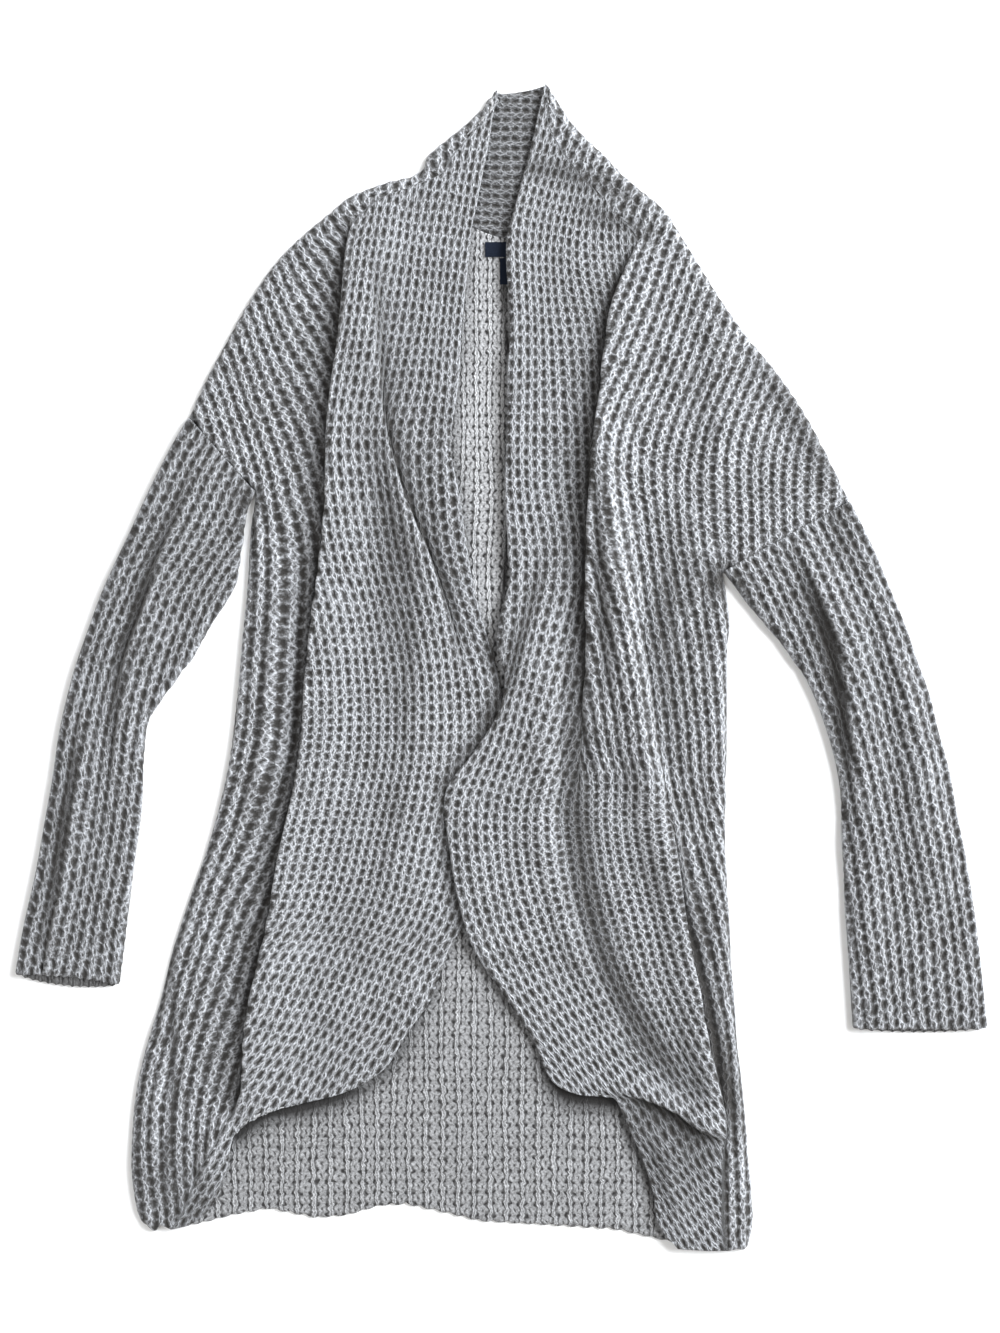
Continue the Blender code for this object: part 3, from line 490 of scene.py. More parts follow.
def fold_frame(plan: Array, fold: Fold) -> tuple[Array, Array, Array]:
    """Measure each plan point against a fold.

    Args:
        plan: points, in millimetres.
        fold: the fold.

    Returns:
        The distance across it, positive on the raised side, its height and its direction.
    """
    path = np.array(fold.path, float)
    at = np.arange(len(path), dtype=float)
    path = smooth_track(at, path, np.linspace(0, len(path) - 1, 4 * len(path)))
    sign = 1.0 if path[:, 2].sum() > 0 else -1.0
    heights = sign * np.maximum(sign * path[:, 2], 0.0)
    starts, steps = path[:-1, :2], np.diff(path[:, :2], axis=0)
    squares = (steps**2).sum(axis=1)
    best = np.full(len(plan), np.inf)
    height = np.zeros(len(plan))
    miss = np.zeros_like(plan)
    across = np.zeros_like(plan)
    for number, (start, step) in enumerate(zip(starts, steps)):
        offset = plan - start
        share = np.clip(offset @ step / squares[number], 0.0, 1.0)
        off = offset - share[:, None] * step
        distance = np.linalg.norm(off, axis=1)
        nearer = distance < best
        best[nearer] = distance[nearer]
        height[nearer] = (heights[number] * (1 - share) + heights[number + 1] * share)[nearer]
        miss[nearer] = off[nearer]
        across[nearer] = np.array((-step[1], step[0])) / math.sqrt(squares[number]) * fold.raised
    side = np.sign((miss * across).sum(axis=1) + 1e-9)
    return side * best, height, across


def fold_cloth(
    plan: Array, folds: tuple[Fold, ...], hold: Array
) -> tuple[Array, Array, Array]:
    """Shape the cloth along its folds.

    Args:
        plan: points, in millimetres.
        folds: the folds.
        hold: 1 away from seams and 0 on them, for each point.

    Returns:
        How far each point is lifted and shifted, and the painted shade of the creases at it, 0 to
        1.
    """
    lift = np.zeros(len(plan))
    shift = np.zeros_like(plan)
    shade = np.zeros(len(plan))
    for fold in folds:
        away, full, across = fold_frame(plan, fold)
        height = full * hold
        if fold.bend is Bend.LAP:
            stand = eased(away, -fold.near, fold.near)
            lift += height * stand * (1.0 - eased(away, fold.near, fold.far))
            lean = height * (stand - CREASE_TUCK)
            lean *= 1.0 - eased(abs(away), fold.near, fold.far)
            shift -= lean[:, None] * across
            # Painted shade on the lap's low side: darkest just past the crease, fading over its
            # shelter.
            low_side = np.minimum(away + CREASE_SHADE_REACH + 0.5 * full, 0.0)
            broad = fold.shelter / (fold.shelter + BROAD_SHADE_BALANCE)
            foot = np.exp(-((low_side / CREASE_SHADE_WIDTH) ** 2))
            lap_shade = (1.0 - broad) * foot + broad * np.exp(low_side / fold.shelter)
            lap_shade *= 1.0 - eased(away, 0.0, 0.5 * fold.near + 2.0)
            shade = np.maximum(shade, lap_shade * np.clip(full / LAP_FULL_SHADE_HEIGHT, 0.0, 1.0))
        else:
            reach = np.where(away > 0, fold.far, fold.near)
            hump = np.exp(-((away / reach) ** 2))
            lift += RIDGE_GAIN * height * hump
            # A trough is painted darker the deeper it is.
            shade = np.maximum(shade, np.clip(-TROUGH_SHADE * full * hump, 0.0, TROUGH_SHADE_LIMIT))
    return lift, shift, shade


def armpit_shade(plan: Array) -> Array:
    """Paint the shade of the hollows under the arms.

    Args:
        plan: points, in millimetres.

    Returns:
        How much painted shade each point gets, 0 to 1.
    """
    armpit_shades = [
        depth * np.exp(-(((plan[..., 0] - x) ** 2 + (plan[..., 1] - y) ** 2) / radius**2))
        for x, y, radius, depth in ARMPIT_SHADES
    ]
    return np.max(armpit_shades, axis=0)


@dataclass(frozen=True)
class KnitGuide:
    """Where the wales and courses of one stretch of knit lie."""

    rows: Table
    reach: float = 95.0
    step: float = 2.0
    slope_rows: int = 8

    def stitches(self, plan: Array) -> Array:
        """Count the wales and courses at each point.

        Args:
            plan: points, in millimetres.

        Returns:
            Wales to the right of the guide and courses below its top, for each point.
        """
        table = np.array(self.rows, float)[::-1]
        fine = np.arange(table[0, 0], table[-1, 0], self.step)
        _, middle, wale, course, slope = smooth_track(table[:, 0], table, fine).T
        counts = totals(np.diff(fine) / course[1:])
        low, high = fine[0], fine[-1]
        y = plan[..., 1]
        held = np.clip(y, low, high)
        bottom = (middle[0] - middle[self.slope_rows]) / (low - fine[self.slope_rows])
        away = plan[..., 0] - np.interp(held, fine, middle) - np.minimum(y - low, 0.0) * bottom
        lean = self.reach * np.tanh(away / self.reach)
        along = y - np.interp(held, fine, slope) * lean
        courses = -np.interp(along, fine, counts)
        courses -= np.minimum(along - low, 0.0) / course[0]
        courses -= np.maximum(along - high, 0.0) / course[-1]
        return np.stack([away / np.interp(held, fine, wale), courses], axis=-1)


def wandered(stitches: Array, plan: Array) -> Array:
    """Let the wales and courses stray a little, as hand-guided knit does."""
    strays = [sum(drift.at(plan) for drift in way) for way in (WALE_STRAYS, COURSE_STRAYS)]
    return stitches + np.stack(strays, axis=-1)


def waffle_relief(stitches: Array) -> Array:
    """Shape the waffle's outside.

    Args:
        stitches: wales and courses, for each point.

    Returns:
        The height at each point: 1 on the wales and least in the pits between them.
    """
    wale = 0.5 + 0.5 * np.cos(math.tau * stitches[..., 0])
    bar = 0.5 + 0.5 * np.cos(math.tau * stitches[..., 1])
    pit = (1.0 - wale) ** 1.5 * (1.0 - bar) ** 1.2
    return 1.0 - 0.3 * (1.0 - wale) - 0.4 * pit


def reverse_relief(stitches: Array) -> Array:
    """The height of the waffle's inside, where each rib is two wales wide and flat."""
    rib, course = np.moveaxis(0.5 + 0.5 * np.cos(math.tau * stitches), -1, 0)
    return 0.55 * rib**3 + 0.25 * course


def inward_normals(outline: Array, towards: Array) -> Array:
    """Find which way a piece lies from its outline.

    Args:
        outline: the points of one side, in order.
        towards: for each of them, a point across the piece.

    Returns:
        One plan direction for each point, square to the outline.
    """
    steps = np.diff(outline, axis=0)
    steps /= np.maximum(np.linalg.norm(steps, axis=1), 1e-6)[:, None]
    forward = np.vstack([steps[:1], steps[:-1] + steps[1:], steps[-1:]])
    normals = np.stack([-forward[:, 1], forward[:, 0]], axis=1)
    normals /= np.linalg.norm(normals, axis=1)[:, None]
    facing = np.sign((normals * (towards - outline)).sum(axis=1))
    return normals * (1.0 if facing.sum() > 0 else -1.0)


def straightened(points: Array, rolled: Array) -> Array:
    """Put the sewn stretch of an outline on the straight line between its two corners.

    Args:
        points: the outline.
        rolled: 0 on the rows that are sewn and 1 on the others.

    Returns:
        The new outline.
    """
    points = points.copy()
    sewn = np.flatnonzero(rolled == 0)
    first, last = sewn[0] - 1, sewn[-1] + 1
    shares = ((sewn - first) / (last - first))[:, None]
    points[sewn] = points[first] * (1 - shares) + points[last] * shares
    return points


def row_places(guides: Array) -> Array:
    """The distance of each row of a table from its first row, along the piece's middle."""
    return totals(np.linalg.norm(np.diff(guides, axis=0), axis=2).mean(axis=1))


@dataclass(frozen=True)
class Span:
    """The columns between two guides, close together beside a crease at either end."""

    lead: bool
    columns: int
    trail: bool

    def stations(self, lengths: Array) -> Array:
        """Place the columns along the span.

        Args:
            lengths: the span's length in each row.

        Returns:
            One row of distances for each length, without the start and with the end.
        """
        offs = STANDOFF_STEP * np.arange(1, STANDOFF_COUNT + 1)
        squeeze = np.minimum(1.0, lengths / (STANDOFF_SHARE * offs[-1]))[:, None]
        head = squeeze * offs if self.lead else np.zeros((len(lengths), 1))
        tail = lengths[:, None] - squeeze * offs[::-1] if self.trail else lengths[:, None]
        even = np.arange(1, self.columns + 1) / (self.columns + 1)
        inner = head[:, -1:] + (tail[:, :1] - head[:, -1:]) * even
        return np.hstack([*([head] if self.lead else []), inner, tail])


def outward_directions(middle: Array, ring: bool = False) -> Array:
    """Find the directions across a wall.

    Args:
        middle: the rows of points of its middle surface.
        ring: whether each row closes on itself.

    Returns:
        One unit direction for each point: up on a sheet, and outwards on a ring.
    """
    diagonals = np.cross(middle[1:, 1:] - middle[:-1, :-1], middle[1:, :-1] - middle[:-1, 1:])
    total = np.zeros_like(middle)
    for rows in (slice(0, -1), slice(1, None)):
        for columns in (slice(0, -1), slice(1, None)):
            total[rows, columns] += diagonals
    if ring:
        total[:, 0] += total[:, -1]
        total[:, -1] = total[:, 0]
    total /= np.maximum(np.linalg.norm(total, axis=2), 1e-9)[..., None]
    if ring:
        outward = middle - middle[:, :-1].mean(axis=1)[:, None]
        return total * np.sign((total * outward).sum())
    return total * np.sign(total[..., 2].sum())


def placed(
    name: str, body: bmesh.types.BMesh, finishes: tuple[Material, ...]
) -> Object:
    """Put a built body into the scene.

    Args:
        name: the new object's name.
        body: the body, which is freed.
        finishes: its materials.

    Returns:
        The new object.
    """
    mesh = bpy.data.meshes.new(name)
    body.to_mesh(mesh)
    body.free()
    mesh.shade_smooth()
    for finish in finishes:
        mesh.materials.append(finish)
    piece = bpy.data.objects.new(name, mesh)
    bpy.context.scene.collection.objects.link(piece)
    return piece


@dataclass
class KnitWall:
    """A closed wall of knit: a fine outer face with relief and a coarser inner face."""

    name: str
    middle: Array
    directions: Array
    stitches: Array
    relief: Array
    half: Array
    shade: Array
    loose: Array | float = 0.0
    ring: bool = False
    keep_rows: int = 5
    keep_columns: Array | None = None

    def build(self, outside: Material, inside: Material) -> Object:
        """Make the wall's mesh.

        Args:
            outside: the finish of the outer face and of the rims.
            inside: the finish of the inner face.

        Returns:
            The new object.
        """
        rows, columns = self.middle.shape[:2]
        outer = self.middle + self.directions * (self.half + self.relief)[..., None]
        inner = self.middle - self.directions * self.half[..., None]
        for side in (outer, inner):
            side[..., 2] = np.maximum(side[..., 2], 0.0)
            side[..., :2] -= GARMENT_CENTRE
        outer, inner = outer.reshape(-1, 3) * MM, inner.reshape(-1, 3) * MM
        body = bmesh.new()
        bmesh.ops.create_grid(body, x_segments=columns - 1, y_segments=rows - 1, size=1.0)
        place = body.verts.layers.int.new("place")
        for vert in body.verts:
            column = round((vert.co.x + 1) / 2 * (columns - 1))
            row = round((vert.co.y + 1) / 2 * (rows - 1))
            vert[place] = row * columns + column
            vert.co = outer[vert[place]]
        if self.ring:
            bmesh.ops.remove_doubles(body, verts=body.verts[:], dist=0.001 * MM)
        grown = bmesh.ops.extrude_face_region(body, geom=body.faces[:])
        under = {item for item in grown["geom"] if isinstance(item, bmesh.types.BMVert)}
        for vert in under:
            vert.co = inner[vert[place]]
        for item in grown["geom"]:
            if isinstance(item, bmesh.types.BMFace):
                item.material_index = 1
        self._thin_inner_face(body, under, place)
        bmesh.ops.recalc_face_normals(body, faces=body.faces[:])
        piece = placed(self.name, body, (outside, inside))
        self._note_stitches(piece.data)
        return piece

    def _thin_inner_face(
        self, body: bmesh.types.BMesh, under: set[bmesh.types.BMVert], place: object
    ) -> None:
        """Dissolve the inner face's lines that nothing needs, and keep every rim point.

        Args:
            body: the wall, changed in place.
            under: the points of its inner face.
            place: the layer that numbers each point's place in the rows.
        """
        rows, columns = self.middle.shape[:2]
        keep_row = np.arange(rows) % self.keep_rows == 0
        keep_column = self.keep_columns
        if keep_column is None:
            keep_column = np.arange(columns) % KEPT_COLUMNS == 0
        keep_row[-1] = keep_column[-1] = True
        spare = []
        for edge in body.edges:
            one, two = edge.verts
            if one not in under or two not in under or len(edge.link_faces) != 2:
                continue
            if edge.link_faces[0].material_index + edge.link_faces[1].material_index != 2:
                continue
            row_one, column_one = divmod(one[place], columns)
            row_two, column_two = divmod(two[place], columns)
            along_row = row_one == row_two and keep_row[row_one]
            along_column = column_one == column_two and keep_column[column_one]
            if not along_row and not along_column:
                spare.append(edge)
        bmesh.ops.dissolve_edges(body, edges=spare, use_verts=True)

    def _note_stitches(self, mesh: Mesh) -> None:
        """Write each point's wale, course, looseness and painted shade into the mesh for the yarn.

        Args:
            mesh: the wall's mesh, changed in place.
        """
        places = np.zeros(len(mesh.vertices), np.int32)
        mesh.attributes["place"].data.foreach_get("value", places)
        loose = np.broadcast_to(self.loose, self.shade.shape)
        vectors = np.dstack([self.stitches, loose]).reshape(-1, 3)[places].astype(np.float32)
        noted = mesh.attributes.new("stitch", "FLOAT_VECTOR", "POINT")
        noted.data.foreach_set("vector", vectors.ravel())
        shaded = mesh.attributes.new("shade", "FLOAT", "POINT")
        shaded.data.foreach_set("value", self.shade.reshape(-1)[places].astype(np.float32))
        mesh.attributes.remove(mesh.attributes["place"])


@dataclass
class KnitPiece:
    """A knitted piece, the solid that it stands for and the table of its rows."""

    name: str
    node: str
    rows: Table

    def wall(self) -> KnitWall:
        """Shape the piece's wall."""
        raise NotImplementedError

    def build(self, outside: Material, inside: Material) -> Object:
        """Make the piece, with a finish for its outer face and one for its inner face."""
        return self.wall().build(outside, inside)


@dataclass
class FrontPanel(KnitPiece):
    """One front, from its turned side to its free edge, with its half of the collar."""

    folds: tuple[Fold, ...]
    panel_knit: KnitGuide
    side_knit: KnitGuide
    spans: tuple[Span, ...]
    row_step: float
    corners: tuple[int, int]
    overlaps: bool
    merge: Pair | None = None
    merge_fade: Pair = (-112.0, -62.0)
    relief: float = 2.0
    edge_round: Pair = (0.3, 2.4)
    edge_calm: Pair = (-1.5, 3.0)
    # Painted shadow that the front on top casts on this one beside its free edge: its strength,
    # reach across and fade upwards.
    shelter: float = 0.75
    shelter_reach: float = 16.0
    shelter_fade: Pair = (15.0, 45.0)

    def wall(self) -> KnitWall:
        """Shape the front's wall.

        Returns:
            The wall, ready to build.
        """
        table = np.array(self.rows, float)
        guides = table[:, :-1].reshape(len(table), -1, 2)
        guides[:, 0] = straightened(guides[:, 0], table[:, -1])
        places = row_places(guides)
        at = even_places(places[-1], self.row_step)
        turns = (self.corners, *((),) * len(self.spans))
        dense = [smooth_track(places, guides[:, k], at, turns[k]) for k in range(len(turns))]
        rolled = np.interp(at, places, table[:, -1])
        plan, flat, level, place = self._columns(np.stack(dense, axis=1), rolled)
        middle, shade = self._folded(plan, level)
        share = self._side_share(flat, place)
        stitches = wandered(self._stitches(flat, share), flat)
        edge = np.linalg.norm(plan - plan[:, -1:], axis=2)
        rim = np.minimum(edge, np.minimum(at, at[-1] - at)[:, None])
        relief = (waffle_relief(stitches) - FACE_LEVEL) * self.relief * eased(rim, *self.edge_calm)
        keep = np.arange(len(place)) % KEPT_COLUMNS == 0
        keep[: ROLL_STEPS + 1 : 2] = True
        for number in range(1, len(self.spans)):
            keep |= np.abs(place - number) < KEPT_CREASE
        return KnitWall(
            self.name, middle, outward_directions(middle), stitches, relief,
            rounded_half(rim, *self.edge_round), shade, SIDE_LOOSENESS * share, keep_columns=keep,
        )

    def _columns(self, guides: Array, rolled: Array) -> tuple[Array, Array, Array, Array]:
        """Lay out the columns from the turned side to the free edge.

        Args:
            guides: the guides' points in each row.
            rolled: 1 where the side is turned and 0 where it is sewn, for each row.

        Returns:
            The plan, the plan of the unrolled cloth, the level, and each column's place,
            counted in spans.
        """
        side = guides[:, 0]
        plan, flat, levels = self._rim(side, inward_normals(side, guides[:, -1]), rolled)
        places = [np.zeros(ROLL_STEPS + 1)]
        start = plan[-1]
        for number, span in enumerate(self.spans):
            end = guides[:, number + 1]
            lengths = np.linalg.norm(end - start, axis=1)
            along = span.stations(lengths) / lengths[:, None]
            columns = [start + (end - start) * column[:, None] for column in along.T]
            plan += columns
            flat += columns
            levels += [np.full(len(side), FRONT_MIDDLE)] * len(columns)
            places.append(number + along.mean(axis=0))
            start = end
        plan, flat, levels = (np.stack(columns, axis=1) for columns in (plan, flat, levels))
        return plan, flat, levels, np.concatenate(places)

    def _rim(
        self, side: Array, inward: Array, rolled: Array
    ) -> tuple[list[Array], list[Array], list[Array]]:
        """Make the columns of the turned side, flattened towards a seam where it is sewn.

        Args:
            side: the side's outline.
            inward: the direction into the piece at each of its points.
            rolled: 1 where the side is turned and 0 where it is sewn, for each row.

        Returns:
            The columns' plan, their plan on the unrolled cloth, and their levels.
        """
        plan, flat, levels = [], [], []
        for angle in np.linspace(0.0, math.pi / 2, ROLL_STEPS + 1):
            sewn_reach = GAP / 2 + ROLL_WIDTH * angle / (math.pi / 2)
            reach = WALL / 2 + FRONT_MIDDLE * (1 - math.cos(angle))
            cloth = WALL / 2 + FRONT_MIDDLE * (1 - math.pi / 2 + angle)
            for columns, turned in ((plan, reach), (flat, cloth)):
                away = rolled * turned + (1 - rolled) * sewn_reach
                columns.append(side + inward * away[:, None])
            levels.append(FRONT_MIDDLE * (rolled * math.sin(angle) + (1 - rolled)))
        return plan, flat, levels

    def _folded(self, plan: Array, level: Array) -> tuple[Array, Array]:
        """Raise the folds, the overlap and a slow swell.

        Args:
            plan: the rows of plan points.
            level: the height of each point before that.

        Returns:
            The middle surface, and the painted shade of each of its points, 0 to 1.
        """
        clear = np.linalg.norm(plan - plan[:, ROLL_STEPS, None], axis=2)
        clear[:, : ROLL_STEPS + 1] = 0.0
        hold = eased(clear, 0.0, SEAM_FADE).reshape(-1)
        points = plan.reshape(-1, 2)
        lift, shift, shade = fold_cloth(points, self.folds, hold)
        lift += hold * (self._overlap(points) + FRONT_SWELL.at(points))
        lift = np.maximum(lift, LEAST_LIFT).reshape(level.shape)
        middle = np.dstack([plan + shift.reshape(plan.shape), level + lift])
        return middle, self._shade(plan, shade.reshape(level.shape))

    def _shade(self, plan: Array, creases: Array) -> Array:
        """Add the painted shade of the arms' hollows and the painted shadow of the front on top.

        Args:
            plan: the rows of plan points.
            creases: the painted shade of the creases at each point.

        Returns:
            The painted shade of each point, 0 to 1.
        """
        creases = np.maximum(creases, armpit_shade(plan))
        if self.overlaps:
            return creases
        # Painted shadow beside the free edge of the front on top.
        free_edge = np.interp(plan[..., 1], *np.array(TOP_FRONT_EDGE).T)
        under = 1.0 - eased(np.abs(plan[..., 0] - free_edge), 0.0, self.shelter_reach)
        under *= 1.0 - eased(plan[..., 1], *self.shelter_fade)
        return np.maximum(creases, self.shelter * under)

    def _overlap(self, plan: Array) -> Array:
        """Find the lift of the front that passes over the other one.

        Args:
            plan: points, in millimetres.

        Returns:
            The lift at each point, all 0 for the front below.
        """
        across = 1.0 - eased(plan[:, 0], *OVERLAP_SIDE)
        along = eased(plan[:, 1], *OVERLAP_FOOT) * (1.0 - eased(plan[:, 1], *OVERLAP_HEAD))
        return OVERLAP_RISE * across * along * self.overlaps

    def _side_share(self, plan: Array, place: Array) -> Array:
        """Tell the side's knit from the panel's.

        Args:
            plan: the rows of points on the unrolled cloth.
            place: each column's place, counted in spans.

        Returns:
            1 where the knit is the side's and 0 where it is the panel's.
        """
        last = len(self.spans) - 1
        hard = np.broadcast_to(place <= last, plan.shape[:2]).astype(float)
        if self.merge is None:
            return hard
        lower = 1.0 - eased(plan[..., 1], *self.merge_fade)
        return hard * (1 - lower) + (place <= last - 1) * lower

    def _stitches(self, plan: Array, share: Array) -> Array:
        """Join the knit of the side to that of the panel at the crease.

        Args:
            plan: the rows of points on the unrolled cloth.
            share: how much of the side's knit each point has.

        Returns:
            Wales and courses, for each point.
        """
        panel = self.panel_knit.stitches(plan)
        side = self.side_knit.stitches(plan)
        if self.merge is not None:
            meet = np.array([self.merge])
            side = side + self.panel_knit.stitches(meet) - self.side_knit.stitches(meet)
        return panel * (1 - share[..., None]) + side * share[..., None]


@dataclass
class Sleeve(KnitPiece):
    """A flattened sleeve, a tube from the armhole to the cuff."""

    folds: tuple[Fold, ...]
    cuff: Pair
    # The least painted shade over the whole sleeve.
    shelter: float
    row_step: float = 1.9
    column_step: float = 1.4
    rim_steps: int = 5
    wale: float = 8.6
    course: float = 9.5
    relief: float = 1.9
    edge_round: Pair = (0.45, 2.2)
    edge_calm: Pair = (-1.0, 4.0)
    rim_fade: float = 14.0
    seam_gap_reach: float = 12.0
    seam_calm: float = 5.0
    cuff_reach: float = 34.0
    cuff_loops: float = 12.0
    loop_depth: float = 1.6
    loop_reach: float = 5.0
    # Painted shade on the lower layer's inside, where it shows past the upper layer at the cuff.
    inside_shade: float = 0.7
    inside_reach: Pair = (8.0, 30.0)

    def wall(self) -> KnitWall:
        """Shape the sleeve's wall.

        Returns:
            The wall, ready to build.
        """
        table = np.array(self.rows, float).reshape(len(self.rows), 2, 2)
        places = row_places(table)
        at = even_places(places[-1], self.row_step)
        outer, inner = (smooth_track(places, table[:, k], at) for k in range(2))
        down = np.array((table[0, 1, 1] - table[0, 0, 1], table[0, 0, 0] - table[0, 1, 0]))
        down /= np.linalg.norm(down)
        down *= np.sign(down @ (table[1, 0] - table[0, 0]))
        fade = np.clip(1 - at / self.seam_gap_reach, 0, 1)[:, None]
        outer, inner = (side + down * GAP / 2 * fade for side in (outer, inner))
        middle, walked, shade = self._rings(outer, inner)
        # Painted shade from the arms' hollows, and never less than the sleeve's shelter share.
        shade = np.maximum(shade, np.maximum(armpit_shade(middle[..., :2]), self.shelter))
        self._part_cuff(middle, shade, at[-1] - at)
        outer_run, inner_run = (
            totals(np.linalg.norm(np.diff(side, axis=0), axis=1))[:, None]
            for side in (outer, inner)
        )
        width = np.linalg.norm(inner - outer, axis=1)[:, None]
        share = np.clip(np.abs(walked) / width, 0, 1)
        run = outer_run * (1 - share) + inner_run * share
        stitches = np.stack([walked / self.wale, run / self.course], axis=-1)
        stitches = wandered(stitches, middle[..., :2])
        rim = np.broadcast_to((at[-1] - at)[:, None], walked.shape)
        relief = (waffle_relief(stitches) - FACE_LEVEL) * self.relief
        relief *= eased(rim, *self.edge_calm)
        relief *= 0.35 + 0.65 * eased(at, 0.0, self.seam_calm)[:, None]
        return KnitWall(
            self.name, middle, outward_directions(middle, ring=True), stitches, relief,
            rounded_half(rim, *self.edge_round), shade, SLEEVE_LOOSENESS, ring=True,
        )

    def _rings(self, outer: Array, inner: Array) -> tuple[Array, Array, Array]:
        """Run the tube's columns around it: its upper layer, a rim, its lower layer, a rim.

        Args:
            outer: the outline's outer side.
            inner: its inner side.

        Returns:
            The middle surface, each point's distance around the tube, and the painted shade of its
            creases.
        """
        low, high = BACK_MIDDLE, FRONT_MIDDLE
        radius = (high - low) / 2
        quarter = radius * math.pi / 2
        across = (inner - outer) / np.linalg.norm(inner - outer, axis=1)[:, None]
        one = outer + across * (WALL / 2 + radius)
        two = inner - across * (WALL / 2 + radius)
        flat = np.linalg.norm(two - one, axis=1)
        steps = int(flat.max() / self.column_step)
        shares = np.linspace(0.0, 1.0, steps + 1)
        turns = math.pi * np.arange(1, self.rim_steps + 1) / (self.rim_steps + 1)
        columns = [(one + (two - one) * s, high, quarter + flat * s) for s in shares]
        for turn in turns:
            plan = two + across * radius * math.sin(turn)
            ahead, behind = quarter + flat + radius * turn, radius * turn - 3 * quarter - flat
            walk = ahead if turn <= math.pi / 2 else behind
            columns.append((plan, low + radius * (1 + math.cos(turn)), walk))
        columns += [(two + (one - two) * s, low, -quarter - flat * (1 - s)) for s in shares]
        for turn in turns:
            plan = one - across * radius * math.sin(turn)
            walk = np.full(len(plan), radius * turn - quarter)
            columns.append((plan, low + radius * (1 - math.cos(turn)), walk))
        columns.append(columns[0])
        middle = np.stack(
            [np.column_stack([plan, np.full(len(plan), level)]) for plan, level, _ in columns],
            axis=1,
        )
        around = np.stack([walk for _, _, walk in columns], axis=1)
        shade = np.zeros(around.shape)
        shade[:, : steps + 1] = self._fold(middle[:, : steps + 1], flat)
        return middle, around, shade

    def _part_cuff(self, middle: Array, shade: Array, to_end: Array) -> None:
        """Bow the cuff's two layers apart, so that the lower one shows past the upper one, and
        paint shade on its inside there.

        Args:
            middle: the rows of points around the tube, changed in place.
            shade: the painted shade of each point, changed in place.
            to_end: the distance of each row from the cuff's end.
        """
        first, last = middle[-1, 0, :2], middle[-1, middle.shape[1] // 2 - 1, :2]
        up = np.array((first[1] - last[1], last[0] - first[0]))
        up *= np.sign(up @ (middle[0, 0, :2] - first)) / np.linalg.norm(up)
        share = (middle[..., :2] - first) @ (last - first) / ((last - first) ** 2).sum()
        share = np.clip(share, 0, 1)
        bow = np.sin(math.pi * share) ** 0.6 * (1.0 - eased(to_end, 0.0, self.cuff_reach))[:, None]
        upper = eased(middle[..., 2], BACK_MIDDLE + 1.0, FRONT_MIDDLE - 1.0)
        reach = (self.cuff[0] * upper + self.cuff[1] * (1.0 - upper)) * bow
        edge = (1.0 - eased(to_end, 0.0, self.loop_reach))[:, None]
        reach += self.loop_depth * loops(share * self.cuff_loops) * edge
        middle[..., :2] -= reach[..., None] * up
        # The lower layer's inside is painted darker towards the cuff.
        deep = (1.0 - upper) * (1.0 - eased(to_end, *self.inside_reach))[:, None]
        np.maximum(shade, self.inside_shade * deep, out=shade)

    def _fold(self, top: Array, flat: Array) -> Array:
        """Lift the upper layer along the sleeve's folds, away from its rims and its seam.

        Args:
            top: the rows of points of the upper layer, changed in place.
            flat: the width of each row.

        Returns:
            The painted shade of the creases at each point, 0 to 1.
        """
        share = np.linspace(0.0, 1.0, top.shape[1])
        clear = np.minimum(share, 1 - share)[None] * flat[:, None]
        travelled = np.linalg.norm(top[:, :, :2] - top[:1, :, :2], axis=2)
        hold = eased(clear, 0.0, self.rim_fade) * eased(travelled, 0.0, SEAM_FADE)
        points = top[..., :2].reshape(-1, 2)
        lift, _, shade = fold_cloth(points, self.folds, hold.reshape(-1))
        lift += hold.reshape(-1) * SLEEVE_SWELL.at(points)
        top[..., 2] += np.maximum(lift, LEAST_LIFT).reshape(hold.shape)
        return shade.reshape(hold.shape)


